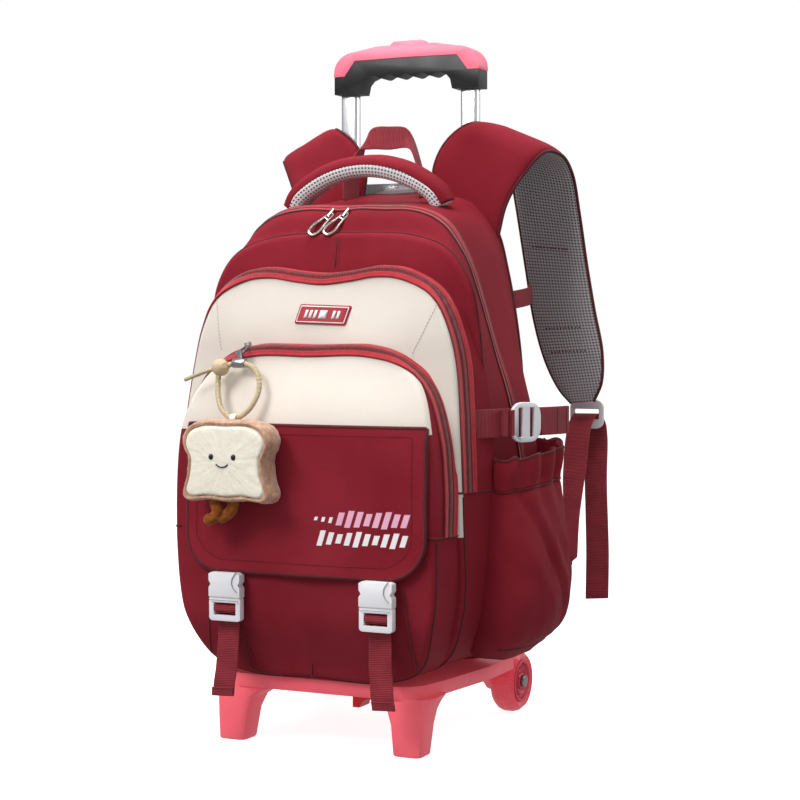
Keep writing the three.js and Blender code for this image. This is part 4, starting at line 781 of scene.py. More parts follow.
def make_main():
    """The main compartment with its zip, its piping at the back and its seam in front."""
    rows = MAIN.shape[0]
    side = fade(rows, MAIN_MARKS["back"], MAIN_MARKS["face"])
    front = fade(rows, MAIN_MARKS["face"] + 1, rows + 20)
    grid = creased(MAIN, True, [
        (side, (26, 34, 150), 1.7, 3), (side, (60, 60, 60), 1.6, 4), (side, (11, 11, 30), 0.35, 5),
        (front, (48, 60, 60), 1.2, 6), (front, (14, 20, 18), 0.25, 7),
    ])
    piece = grid_object("main_compartment", grid, WINE, wrap=True)
    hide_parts("main_back_shell", "main_front_shell")
    row = MAIN_MARKS["zip"]
    columns = zip_range(grid, row, 250)
    strip = strip_by_distance(grid, row, columns, (-6.5, 6.5), (-6.5, 6.5), even_over=61)
    band_object("main_zip_band", strip, [(a, b * 0.6) for a, b in ZIP_PROFILE], "main_zip", MAIN_ZIP)
    for name, index, radius in (("main_back_piping", MAIN_MARKS["back"] - 2, 1.7),
                                ("main_front_seam", MAIN_MARKS["face"], 1.0)):
        tube = tube_object(name, grid[index], radius, BINDING, closed=True, sides=8)
    return grid


def keep_side(piece, height, edge, upper):
    """Cuts a pocket at a height and keeps its front above the cut, or all the rest of it."""
    work = bmesh.new()
    work.from_mesh(piece.data)
    everything = work.verts[:] + work.edges[:] + work.faces[:]
    bmesh.ops.bisect_plane(work, geom=everything, plane_co=(0, 0, height * MM), plane_no=(0, 0, 1))
    index = work.verts.layers.float["ring"]
    drop = []
    for face in work.faces:
        front = sum(v[index] for v in face.verts) / len(face.verts) > edge - 0.4
        above = face.calc_center_median().z > height * MM
        if (front and above) != upper:
            drop.append(face)
    bmesh.ops.delete(work, geom=drop, context="FACES")
    work.to_mesh(piece.data)
    work.free()


def make_pocket(name, grid, edge, zip_end, change, side_range):
    """A pocket in two cloths that change at a height, with its zip and piping."""
    rows = grid.shape[0]
    front = fade(rows, edge + 2, rows + 24)
    gusset = fade(rows, 1, edge)
    grid = creased(grid, True, [
        (front, (70, 60, 60), 1.5, 11), (front, (26, 30, 30), 0.45, 12), (gusset, (14, 20, 22), 0.5, 13),
    ])
    cols = grid.shape[1]
    faces = grid_faces(rows, cols, wrap=True) + [tuple(range((rows - 1) * cols, rows * cols))]
    index = np.repeat(np.arange(rows, dtype=float), cols)
    for label, material, slot in (("panel", CREAM, "cream_cloth"), ("base", WINE, "wine_cloth")):
        piece = mesh_object(f"{name}_pocket_{label}_cloth", grid.reshape(-1, 3), faces, material,
                            uv=grid_uv(grid), attributes={"ring": index})
        keep_side(piece, change, edge, label == "panel")
        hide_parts(f"{name}_pocket_{label}")
    columns = zip_range(grid, edge, zip_end)
    strip = strip_by_distance(grid, edge, columns, side_range, (-6.0, 12.5))
    band_object(f"{name}_zip_band", strip, ZIP_PROFILE, f"{name}_zip", ZIP)
    ends = [columns[0], columns[-1]]
    for j, label in zip(ends, ("left", "right")):
        tube = tube_object(f"{name}_zip_end_{label}", grid[0:edge + 6, j], 1.0, BINDING, sides=8)
    below = [j for j in range(cols) if j not in set(columns)]
    start = max(range(len(below)), key=lambda k: (below[k] - below[k - 1]) % cols)
    below = below[start:] + below[:start]
    tube = tube_object(f"{name}_edge_piping", grid[edge, below], 1.1, BINDING, sides=8)
    return grid


MAIN = make_main()
UPPER_GRID = make_pocket("upper", UPPER_GRID, UPPER_EDGE, 226, 190, (-18.0, 1.5))
LOWER_GRID = make_pocket("lower", LOWER_GRID, LOWER_EDGE, 190, 279, (-29.0, -9.0))
MAIN_TREE = surface_tree(MAIN)
UPPER_TREE = surface_tree(UPPER_GRID)
LOWER_TREE = surface_tree(LOWER_GRID)


# Flap, badge and front webbing

FLAP_TOP = 284.0
FLAP_BOTTOM = 156.0
FLAP_HALF = 114.5
FLAP_SHIFT = 1.0
FLAP_CORNER = 34.0
LOWER_FRONT = -226.0
BUCKLE_AT = (("left", -70.0), ("right", 76.0))
BUCKLE_FACE = -236.25


def lower_front(x, z):
    place, normal = cast_front(LOWER_TREE, x, z)
    if place is None:
        return LOWER_FRONT, np.array([0.0, -1.0, 0.0])
    return place[1], normal


def flap_point(u, v):
    """A point of the flap's middle surface: u from -1 to 1 across, v from 0 at the top to 1."""
    z = FLAP_TOP - v * (FLAP_TOP - FLAP_BOTTOM)
    rise = FLAP_BOTTOM + FLAP_CORNER - z
    half = FLAP_HALF
    if rise > 0:
        half = FLAP_HALF - FLAP_CORNER + math.sqrt(max(FLAP_CORNER ** 2 - rise ** 2, 0.0))
    x = FLAP_SHIFT + u * half
    y, _ = lower_front(x, z)
    lift = 2.4 + 2.0 * v ** 3 + 1.2 * math.exp(-((1 - abs(u)) / 0.12) ** 2) * v
    sag = 0.9 * math.sin(u * 5.3 + 0.8) * v ** 2
    return np.array([x, y - lift - sag, z])


def make_flap():
    """The flap over the lower pocket, with a bound edge and stitches along it."""
    rows, cols = 70, 120
    vs = 1 - (1 - np.linspace(0, 1, rows)) ** 1.25
    us = np.linspace(-1, 1, cols)
    grid = np.array([[flap_point(u, min(v, 0.9995)) for u in us] for v in vs])
    near_roll = np.abs(grid[:, :, 0] - FLAP_SHIFT) > 106
    y = grid[:, :, 1]
    y[:] = np.where(near_roll, np.minimum(y, y[:, [12]].repeat(cols, 1) + 4.5), y)
    for _ in range(3):
        y[1:-1, 1:-1] = (y[:-2, 1:-1] + y[2:, 1:-1] + y[1:-1, :-2] + y[1:-1, 2:]) / 4
    grid[..., 1] += 0.45 * soft_noise(grid, (26, 60, 30), 21) + 0.8 * soft_noise(grid, (70, 60, 50), 22)
    piece = thicken(grid_object("flap_cloth", grid, WINE), 2.6)
    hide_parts("flap")
    sides = [grid[::-1, 0][:-1], grid[0, :][:-1], grid[:, -1][:-1], grid[-1, ::-1]]
    border = resampled(np.vstack(sides), 260)
    tube = tube_object("flap_binding", border, 1.9, BINDING, sides=8)
    inner, normals = [], []
    route = [(-0.9, t) for t in np.linspace(0.93, 0.06, 40)]
    route += [(t, 0.06) for t in np.linspace(-0.9, 0.9, 60)]
    route += [(0.9, t) for t in np.linspace(0.06, 0.93, 40)]
    route += [(t, 0.93) for t in np.linspace(0.9, -0.9, 60)]
    for u, v in route:
        corner = max(0.0, v - 0.74) / 0.19
        u = u * (1 - 0.16 * corner ** 3) if abs(u) > 0.5 else u
        j = (u + 1) / 2 * (cols - 1)
        a = int(np.clip(np.interp(v, vs, np.arange(rows)), 0, rows - 2))
        b = int(min(j, cols - 2))
        inner.append(grid[a, b] + np.array([0, -1.5, 0]))
        normals.append([0, -1, 0])
    row = stitch_row("flap_border_stitches", np.array(inner), normals, radius=0.34, pitch=3.0, length=2.1)
    return grid


def make_flap_print(grid):
    """A plain print of slanted bars, pink above and white below, on the flap's lower right."""
    tree = surface_tree(grid, wrap=False)
    bars = []
    for k in range(8):
        bars.append((40 + k * 8.4, 206.5, 2.7, 5.2 + 2.2 * math.sin(k * 0.9 + 0.4) ** 2, 0))
    for k in range(10):
        bars.append((22 + k * 8.4, 189.5, 2.5, 4.0 + 2.6 * math.cos(k * 0.8) ** 2, 1))
    for k in range(3):
        bars.append((17 + k * 7.0, 206.0 - k * 0.4, 1.5, 1.5 + 0.5 * k, 1))
    points, tones = [], [[], []]
    for x, z, half, tall, tone in bars:
        start = len(points)
        for i in range(6):
            for j in range(4):
                t = i / 5 * 2 - 1
                px = x + (j / 3 * 2 - 1) * half + t * tall * 0.32
                pz = z + t * tall
                place, _ = cast_front(tree, px, pz)
                points.append(place + np.array([0, -1.55, 0]))
        tones[tone] += grid_faces(6, 4, start=start)
    points = np.array(points)
    for tone, material, name in ((0, PRINT_PINK, "flap_print_pink"), (1, PRINT_WHITE, "flap_print_white")):
        used = sorted({k for f in tones[tone] for k in f})
        new = {k: i for i, k in enumerate(used)}
        piece = mesh_object(name, points[used], [tuple(new[k] for k in f) for f in tones[tone]], material,
                            uv=points[used][:, [0, 2]])


def rounded_rectangle(half_w, half_h, corner, per_corner=6):
    points = []
    for cx, cz, start in ((1, 1, 0), (-1, 1, 90), (-1, -1, 180), (1, -1, 270)):
        for k in range(per_corner + 1):
            a = math.radians(start + 90 * k / per_corner)
            x = cx * (half_w - corner) + corner * math.cos(a)
            z = cz * (half_h - corner) + corner * math.sin(a)
            points.append((x, z))
    return np.array(points)


def make_badge():
    """The slanted patch on the upper pocket, with a pale outline and plain marks."""
    half_w, half_h = 25.0, 8.5
    slant = math.radians(-2)

    def lay(points, lift):
        result = []
        for px, pz in points:
            x = px * math.cos(slant) + pz * 0.28
            z = 380 + px * math.sin(slant) + pz
            place, _ = cast_front(UPPER_TREE, x, z)
            result.append(place + np.array([0, -lift, 0]))
        return np.array(result)

    def plate(name, w, h, corner, lift, material, hole=None):
        outer = rounded_rectangle(w, h, corner)
        rings = [lay(outer, 0.0), lay(outer, lift - 0.4), lay(outer * (1 - 0.5 / np.array([w, h])), lift)]
        if hole is not None:
            rings.append(lay(rounded_rectangle(*hole), lift))
            rings.append(lay(rounded_rectangle(*hole), lift - 0.7))
        else:
            rings += [lay(outer * s, lift) for s in (0.7, 0.4, 0.05)]
        grid = np.array(rings)
        piece = grid_object(name, grid, material, wrap=True)
        return piece

    base = plate("badge_patch", half_w, half_h, 1.6, 1.6, BADGE_RED)
    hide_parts("badge")
    opening = (half_w - 2.1, half_h - 2.1, 0.5)
    plate("badge_outline", half_w - 1.2, half_h - 1.2, 1.0, 1.95, WHITE, opening)
    for k, (x, w) in enumerate(((-16, 1.3), (-11.5, 1.3), (-7, 1.3), (0.5, 3.6), (11, 1.3), (15.5, 1.3))):
        outer = rounded_rectangle(w, 3.6, 0.4, 3) + np.array([x, 0])
        grid = np.array([lay(outer, 1.5), lay(outer, 2.0), lay((outer - [x, 0]) * 0.05 + [x, 0], 2.0)])
        grid_object(f"badge_mark_{k}", grid, WHITE, wrap=True)


# Webbing and straps

def edge_strip(rows, columns=9, per_segment=14):
    """A strip between the two smooth curves through the rows' left and right points."""
    left = smooth_curve([r[:3] for r in rows], per_segment)
    right = smooth_curve([r[3:] for r in rows], per_segment)
    t = np.linspace(0, 1, columns)[None, :, None]
    return left[:, None, :] * (1 - t) + right[:, None, :] * t


def path_strip(path, width, across, columns=9, count=60):
    """A strip of one width along a smooth path."""
    line = resampled(smooth_curve(path, 12), count)
    side = np.asarray(across, float) / np.linalg.norm(across)
    t = np.linspace(-0.5, 0.5, columns)[None, :, None]
    return line[:, None, :] + side[None, None, :] * t * width


def webbing(name, grid, thickness, node=None):
    """A strip of webbing, a little uneven, that may stand for a CAD node."""
    grid = grid + grid_normals(grid) * (0.18 * soft_noise(grid, (9, 9, 14), 31))[..., None]
    piece = thicken(grid_object(name, grid, WEBBING), thickness)
    rounded_edges(piece, 0.35, 2)
    if node:
        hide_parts(node)


def bar_tack(name, centre, across, up, out, half, count, tall):
    """A dense zigzag of thread across a strap."""
    centre, across, up, out = (np.asarray(v, float) for v in (centre, across, up, out))
    path = []
    for k in range(count + 1):
        place = centre + across * (2 * k / count - 1) * half + up * (tall if k % 2 else -tall)
        path.append(place + out * 1.1)
    tube_object(name, np.array(path), 0.42, THREAD, sides=5)


def make_front_webbing():
    for side, cx in BUCKLE_AT:
        lean = -0.5 if side == "left" else 0.5
        tail = [(cx, -226.2, 126.5), (cx, -226.4, 112), (cx + lean, -226.2, 100), (cx + 2 * lean, -227.4, 86),
                (cx + 4 * lean, -227.6, 72), (cx + 7 * lean, -229.0, 58), (cx + 10 * lean, -228.4, 46)]
        strip = path_strip(tail, 21.2, (1, 0, 0.05), 11, 80)
        webbing(f"front_tail_{side}", strip, 1.5, f"front_webbing_{side}")
        hem = [(cx + 9 * lean, -230.6, 54), (cx + 10 * lean, -230.2, 50), (cx + 10.4 * lean, -229.8, 46.2)]
        webbing(f"front_tail_hem_{side}", path_strip(hem, 21.0, (1, 0, 0.05), 9, 12), 1.4)
        row = [(cx + 9 * lean + t, -231.6, 53.0) for t in np.linspace(-9.6, 9.6, 20)]
        stitch_row(f"front_tail_stitches_{side}", row, [(0, -1, 0)] * 20)
        roll = []
        for a in np.linspace(-0.6, 2 * math.pi - 1.4, 26):
            roll.append((cx, -231.0 - 3.3 * math.cos(a), 123.5 + 3.3 * math.sin(a)))
        webbing(f"front_roll_{side}", path_strip(roll, 21.4, (1, 0, 0), 11, 40), 1.2)


BADGE_RED = plastic("badge_red", srgb("b3182a"), srgb("9c1222"), 0.5)
PRINT_PINK = plastic("print_pink", srgb("f2b6cf"), srgb("e9a6c4"), 0.55)
PRINT_WHITE = plastic("print_white", srgb("f6f1f4"), srgb("ebe4ea"), 0.55)
FLAP_GRID = make_flap()
make_flap_print(FLAP_GRID)
make_badge()
make_front_webbing()


BAG_SIDES = (("right", False), ("left", True))
FLIP = np.array([-1.0, 1.0, 1.0])


def mirrored(grid, mirror):
    """The strip, or its mirror image on the bag's left side with the columns turned round."""
    return (grid * FLIP)[:, ::-1] if mirror else grid


def section_strap(name, left, right, thickness, first, last, steps, material, node, puff=1.0):
    """A padded strap's half: its section is a rounded pad, swept between two edge curves."""
    along = np.gradient((left + right) / 2, axis=0)
    side = right - left
    width = np.linalg.norm(side, axis=1, keepdims=True)
    side = side / width
    normal = np.cross(along, side)
    normal /= np.linalg.norm(normal, axis=1, keepdims=True)
    angles = np.linspace(first, last, steps)
    c, s = np.cos(angles), np.sin(angles)
    a = np.sign(c) * np.abs(c) ** 0.55
    n = np.sign(s) * np.abs(s) ** 0.8
    middle = ((left + right) / 2)[:, None, :]
    grid = middle + side[:, None, :] * (a[None, :, None] * width[:, None] / 2) \
        + normal[:, None, :] * (n[None, :, None] * thickness / 2 * puff)
    weight = np.abs(n)[None, :]
    lift = 0.55 * soft_noise(grid, (22, 22, 30), 41) * weight + 0.2 * soft_noise(grid, (7, 7, 9), 42) * weight
    grid = grid + normal[:, None, :] * (lift * np.sign(n)[None, :])[..., None]
    rows, cols = grid.shape[:2]
    faces = grid_faces(rows, cols, wrap=True)
    faces.append(tuple(range(cols))[::-1])
    faces.append(tuple(range((rows - 1) * cols, rows * cols)))
    piece = mesh_object(name, grid.reshape(-1, 3), faces, material, uv=grid_uv(grid))
    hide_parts(node)
    return normal


SHOULDER = [
    (40, -24, 488, 100, -24, 452), (36, -24, 516, 108, -22, 484), (48, -21, 543, 121, -14, 510),
    (70, -16, 559, 137, 1, 532), (82, 7, 557, 146, 22, 530), (85, 38, 538, 148, 46, 514),
    (87, 58, 490, 150, 60, 478), (93, 71, 425, 154, 70, 430), (99, 78, 375, 160, 76, 385),
    (110, 81, 335, 167, 79, 345), (124, 82, 308, 166, 80, 315), (136, 82, 295, 158, 81, 297),
]


def make_shoulder_straps():
    left = resampled(smooth_curve([r[:3] for r in SHOULDER], 14), 150)
    right = resampled(smooth_curve([r[3:] for r in SHOULDER], 14), 150)
    for name, mirror in BAG_SIDES:
        a, b = (right * FLIP, left * FLIP) if mirror else (left, right)
        normal = section_strap(f"shoulder_pad_cover_{name}", a, b, 11, math.pi + 0.04, 2 * math.pi - 0.04,
                               34, WINE, f"shoulder_strap_cover_{name}", puff=1.04)
        section_strap(f"shoulder_pad_net_{name}", a, b, 11, 0.04, math.pi - 0.04, 34, SHADED_PAD_NET,
                      f"shoulder_strap_mesh_{name}", puff=0.98)
        side = (b - a) / np.linalg.norm(b - a, axis=1, keepdims=True)
        for label, line in (("a", a - side * 0.5), ("b", b + side * 0.5)):
            tube = tube_object(f"shoulder_binding_{name}_{label}", line, 1.7, BINDING, sides=8)
        for k, at in enumerate((0.60, 0.80, 0.86)):
            i = int(at * (len(a) - 1))
            middle = (a[i] + b[i]) / 2 + normal[i] * 5.4
            row = [middle + side[i] * t for t in np.linspace(-19, 19, 22)]
            stitches = stitch_row(f"shoulder_bar_{name}_{k}", row, [normal[i]] * 22, radius=0.7,
                                  material=BINDING)


TAB_ROWS = [(108, -16, 168, 108, -16, 122), (120, -11, 168, 120, -11, 122), (142, 4, 160, 142, 4, 136),
            (158, 22, 151, 158, 22, 145)]
RUN_ROWS = [(151, 15, 140, 162, 26, 152), (146, 32, 185, 160, 38, 190), (138, 52, 230, 160, 55, 232),
            (133, 80, 274, 157, 81, 275), (135, 95, 284, 159, 95, 284), (138, 106, 276, 162, 106, 276),
            (141, 104, 262, 165, 104, 262), (146, 92, 220, 169, 91, 220), (153, 77, 150, 176, 77, 150),
            (155, 70, 106, 178, 70, 108)]
KEEPER = [(98, -15, 393), (108, -10.5, 394), (116, 8, 397), (112, 34, 400), (100, 58, 402)]


def make_strap_webbing():
    for name, mirror in BAG_SIDES:
        tab = mirrored(edge_strip(TAB_ROWS, 13), mirror)
        tab = thicken(grid_object(f"webbing_tab_{name}", tab, WINE), 2.2)
        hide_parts(f"strap_webbing_{name}")
        webbing(f"strap_webbing_run_{name}", mirrored(edge_strip(RUN_ROWS, 11, 18), mirror), 1.5)
        keeper = path_strip(KEEPER, 17, (0, 0.02, 1), 9, 50)
        webbing(f"strap_keeper_web_{name}", mirrored(keeper, mirror), 1.5, f"strap_keeper_{name}")


LOOP_ROWS = [(-43, -57, 489, -39, -33, 488), (-43, -55, 510, -38, -33, 508), (-33, -45, 535, -30, -33, 545),
             (-23, -39, 537, -23, -35, 557), (-3, -39, 536, -3, -35, 558), (13, -39, 537, 12, -35, 556),
             (22, -45, 533, 18, -33, 547), (34, -55, 510, 29, -33, 512), (36, -57, 489, 32, -33, 489)]
ARCH = [(-1, 0), (-.9, .32), (-.6, .72), (-.3, .93), (0, 1), (.3, .93), (.6, .72), (.9, .32), (1, 0)]


def make_handles():
    webbing("hanging_loop_web", edge_strip(LOOP_ROWS, 11, 12), 1.6, "hanging_loop")
    centre = smooth_curve([(a * 76, -92, 479 + u * 37.5) for a, u in ARCH], 14)
    centre = resampled(centre, 110)
    across = np.array([0, -1, -0.12]) / math.hypot(1, 0.12)
    spread = 13.5 * (1 - 0.28 * np.abs(np.linspace(-1, 1, 110)) ** 6)[:, None]
    left = centre - across * spread
    right = centre + across * spread
    section_strap("grab_handle_red", left, right, 20.5, math.pi + 0.62, 2 * math.pi - 0.1, 34, WINE,
                  "grab_handle_cover")
    section_strap("grab_handle_net", left, right, 20.5, -0.1, math.pi + 0.62, 44, GREY_NET,
                  "grab_handle_mesh")


SIDE_PATH = [(126, -176), (134, -164), (143, -149), (151.5, -131), (160, -112), (169, -92), (176, -72),
             (180, -52)]


def make_side_straps():
    for name, mirror in BAG_SIDES:
        path = [(x, y, 286) for x, y in SIDE_PATH]
        strip = path_strip(path, 25, (0, 0, 1), 11, 90)
        webbing(f"side_strap_web_{name}", mirrored(strip, mirror), 1.5, f"side_strap_{name}")
        fold = [(x + 1.4, y - 0.8, 286) for x, y in SIDE_PATH[5:]]
        webbing(f"side_strap_fold_{name}", mirrored(path_strip(fold, 24.6, (0, 0, 1), 11, 40), mirror), 1.4)
        sign = -1 if mirror else 1
        for k, (x, y) in enumerate(((179, -60), (176, -74))):
            bar_tack(f"side_tack_{name}_{k}", (sign * (x + 2.4), y - 1.2, 286), (0, 0, 1), (0, 0.6, 0),
                     (sign * 0.9, -0.3, 0), 10.5, 22, 1.2)


POCKET_ROWS = [(-.03, .1, .6), (.03, .42, .8), (.12, .8, .94), (.28, 1, 1), (.55, .93, .98), (.78, .8, .95),
               (.88, .68, .93), (1, .76, .94)]


POCKET_FOOT = 82
POCKET_TALL = 178
POCKET_WALL = 143
POCKET_BULGE = 42
POCKET_HALF = 56
POCKET_MIDDLE = -78


def make_side_pockets():
    """Pockets with an elastic rim: folds gather below it, and the cloth hangs loose further down."""
    rows = smooth_curve(POCKET_ROWS, 14)
    angles = np.linspace(-math.pi / 2, math.pi / 2, 120)
    for name, mirror in BAG_SIDES:
        grid = np.zeros((len(rows), len(angles), 3))
        for i, (height, bulge, length) in enumerate(rows):
            c = np.abs(np.cos(angles)) ** 0.8
            reach = length * POCKET_HALF
            pulled = np.clip((height - 0.7) / 0.2, 0, 1) ** 1.3
            folds = np.sin(angles * 11.5 + 1.2 * np.sin(angles * 3.1) + 0.5 * math.sin(height * 9))
            gather = 3.3 * pulled * folds * np.abs(np.cos(angles)) ** 0.25
            ahead = np.where(angles > 0, 1.17, 1.0)
            grid[i, :, 0] = POCKET_WALL + bulge * POCKET_BULGE * c + gather
            swell = np.sign(angles) * np.abs(np.sin(angles)) ** 0.85
            grid[i, :, 1] = POCKET_MIDDLE - reach * ahead * swell
            drop = 6.0 * np.sin(angles) - 1.6 * pulled * np.cos(angles * 11.5)
            grid[i, :, 2] = POCKET_FOOT + height * POCKET_TALL - drop * np.clip(height, 0, 1)
        normal = grid_normals(grid)
        if normal[30, 60, 0] < 0:
            normal = -normal
        y, z = grid[..., 1], grid[..., 2]
        slope = (z - 170) * 0.62 + (y + 90)
        fold = 2.6 * np.exp(-((slope - 4) / 7.5) ** 2) - 2.4 * np.exp(-((slope + 9) / 5.5) ** 2)
        fold += 1.7 * np.exp(-((slope + 34) / 9) ** 2) + 1.5 * np.exp(-((slope - 32) / 8) ** 2)
        share = np.clip((z - POCKET_FOOT) / POCKET_TALL, 0, 1)
        inward = np.array([-26.0, 0.0, 0.0])
        weight = np.sin(math.pi * np.clip(share * 0.94 + 0.04, 0, 1)) ** 0.7
        weight *= np.abs(np.cos(angles))[None, :] ** 0.5
        loose = 1.7 * soft_noise(grid, (30, 18, 46), 51) + 0.7 * soft_noise(grid, (12, 9, 16), 52)
        grid = grid + normal * (weight * (fold * 0.8 + loose))[..., None]
        closed = np.concatenate([grid[:, :1] + inward, grid, grid[:, -1:] + inward], axis=1)
        piece = thicken(grid_object(f"side_pocket_cloth_{name}", mirrored(closed, mirror), WINE), 1.6)
        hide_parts(f"side_pocket_{name}")
        top = grid[-20:, 2:-2] + normal[-20:, 2:-2] * 1.3
        puff = 1.5 * np.sin(np.linspace(0, math.pi, 20))[:, None, None]
        band = grid_object(f"side_pocket_rim_{name}", mirrored(top + normal[-20:, 2:-2] * puff, mirror), WINE)
        thicken(band, 1.4)
        lower = grid[-21, 3:-3] + normal[-21, 3:-3] * 1.4
        lower = lower * FLIP if mirror else lower
        tube = tube_object(f"side_pocket_seam_{name}", lower, 0.9, THREAD, sides=6)
        rim = grid[-1, 2:-2] + normal[-1, 2:-2] * 1.0
        base = grid[14, 2:-2] + normal[14, 2:-2] * 0.6
        for label, line, radius in (("rim", rim, 1.5), ("base", base, 0.9)):
            line = line * FLIP if mirror else line
            piping = tube_object(f"side_pocket_{label}_piping_{name}", line, radius, BINDING, sides=8)


def on_surface(tree, u, v):
    """The point of a surface that the camera sees at a pixel, and the normal there."""
    eye = Vector(CAMERA_AT)
    turn = Euler(CAMERA_TURN).to_matrix()
    direction = turn @ Vector(((u - PHOTO_MIDDLE) / FOCAL_PIXELS, (PHOTO_MIDDLE - v) / FOCAL_PIXELS, -1.0))
    place, normal, _, _ = tree.ray_cast(eye, direction.normalized())
    if place is None:
        return None
    if normal.dot(direction) > 0:
        normal = -normal
    return np.array(place), np.array(normal)


def seam_points(tree, pixels, count, lift):
    found = [on_surface(tree, u, v) for u, v in resampled(smooth_curve(pixels, 8), count)]
    found = [f for f in found if f is not None]
    places = np.array([place + normal * lift for place, normal in found])
    return places, np.array([normal for _, normal in found])


def make_seams():
    """Seams and darts on the panels, placed where the photo's camera sees them: dark lines, then stitches."""
    for k, (tree, pixels) in enumerate((
        (MAIN_TREE, [(337, 236), (336, 252), (335, 267)]),
        (LOWER_TREE, [(209, 612), (210, 640), (213, 664)]),
        (LOWER_TREE, [(243, 628), (247, 650), (253, 670)]),
        (LOWER_TREE, [(404, 590), (408, 620), (413, 650), (419, 674)]),
        (LOWER_TREE, [(258, 671), (310, 679), (360, 684), (404, 686)]),
        (LOWER_TREE, [(312, 664), (312, 678)]),
    )):
        places, _ = seam_points(tree, pixels, 40, 0.1)
        if len(places) > 4:
            tube_object(f"panel_seam_{k}", places, 0.75, THREAD, sides=6)
    for k, (tree, pixels, material, slot) in enumerate((
        (MAIN_TREE, [(340, 236), (339, 252), (338, 267)], THREAD, "wine_cloth"),
        (UPPER_TREE, [(436, 306), (424, 330), (411, 356)], CREAM_THREAD, "cream_cloth"),
        (UPPER_TREE, [(217, 300), (219, 330), (222, 352)], CREAM_THREAD, "cream_cloth"),
        (LOWER_TREE, [(247, 628), (251, 650), (257, 668)], THREAD, "wine_cloth"),
        (LOWER_TREE, [(400, 590), (404, 620), (409, 650), (414, 672)], THREAD, "wine_cloth"),
    )):
        places, normals = seam_points(tree, pixels, 60, 0.15)
        if len(places) > 4:
            row = stitch_row(f"panel_stitches_{k}", places, normals, pitch=2.9, length=1.9, radius=0.36,
                             material=material)


def make_slider_rolls():
    """The side strap's webbing where it wraps the slider's bar: two rolls with a gap between."""
    for name, mirror in BAG_SIDES:
        centre = np.array([151.5, -131.0, 286.0])
        tangent = np.array([17.0, 37.0, 0.0]) / math.hypot(17, 37)
        out = np.array([tangent[1], -tangent[0], 0.0])
        for k, offset in enumerate((-3.9, 3.9)):
            rings = []
            for h in np.linspace(-11.2, 11.2, 9):
                row = []
                for a in np.linspace(0, 2 * math.pi, 20, endpoint=False):
                    point = centre + tangent * (offset + 3.5 * math.cos(a)) + out * (2.9 + 3.1 * math.sin(a))
                    row.append(point + np.array([0, 0, h]))
                rings.append(row)
            grid = np.array(rings) * FLIP if mirror else np.array(rings)
            grid = grid.transpose(1, 0, 2)
            grid = np.concatenate([grid, grid[:1]], axis=0)
            grid_object(f"slider_roll_{name}_{k}", grid, WEBBING)


def make_pulls():
    """Zip pulls of bent rod: narrow at the slider and round at the end."""
    frames = (("main_left_pull", (-13.0, -134.8, 469.2)), ("main_right_pull", (2.0, -134.8, 469.2)))
    across = np.array([-0.827, 0.1855, 0.5306])
    normal = np.array([-0.005, -0.9465, 0.3226])
    for name, base in frames:
        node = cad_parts[name]
        points = np.array([v.co for v in node.data.vertices]) / MM - SHIFT / MM
        pivot = np.array(base) + normal * 4.7
        along = points.mean(axis=0) - pivot
        reach = np.linalg.norm(points - pivot, axis=1).max()
        along /= np.linalg.norm(along)
        profile = [(0, 0), (1.5, 0), (2.1, 0.5), (2.5, 5), (3.4, 12), (4.7, 18), (4.4, 23),
                   (2.6, reach - 1.6), (0, reach - 1.0)]
        loop = profile + [(-x, y) for x, y in profile[-2:0:-1]]
        curve = smooth_curve(loop, 8, closed=True)
        path = [pivot + across * x + along * y for x, y in curve]
        radii = [0.85 + 0.5 * min(max((y - 5) / 10, 0), 1) for _, y in curve]
        ring = tube_object(name + "_rod", path, 1.0, CHROME, name, sides=12, closed=True, radii=radii)
        bar = [pivot + across * x + along * 7.0 for x in np.linspace(-2.6, 2.6, 6)]
        bar = tube_object(name + "_bar", bar, 0.8, CHROME, name, sides=10)
        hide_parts(name)


def make_buckle_details():
    """The release button's curved edge and the line where the socket meets the frame."""
    for name, cx in BUCKLE_AT:
        arc = [(cx + 13.5, 157), (cx + 9.6, 152.5), (cx + 8.0, 147.5), (cx + 9.6, 142.5), (cx + 13.0, 139.0)]
        line = [(x, BUCKLE_FACE, z) for x, z in resampled(smooth_curve(arc, 8), 30)]
        tube_object(f"buckle_button_{name}", line, 0.35, GREY_LINE, sides=6)
        joint = [(cx + t, BUCKLE_FACE + 0.05, 131.2) for t in np.linspace(-14.6, 14.6, 20)]
        tube_object(f"buckle_joint_{name}", joint, 0.3, GREY_LINE, sides=6)


CREAM_THREAD = ribbed("cream_thread", srgb("cfc2b4"), srgb("b5a797"), 0.6, 0.05)
GREY_LINE = plastic("grey_line", srgb("9a98a0"), srgb("85838b"), 0.5)
make_seams()
make_slider_rolls()
make_pulls()
make_buckle_details()
make_shoulder_straps()
make_strap_webbing()
make_handles()
make_side_straps()
make_side_pockets()


# The charm on its cord

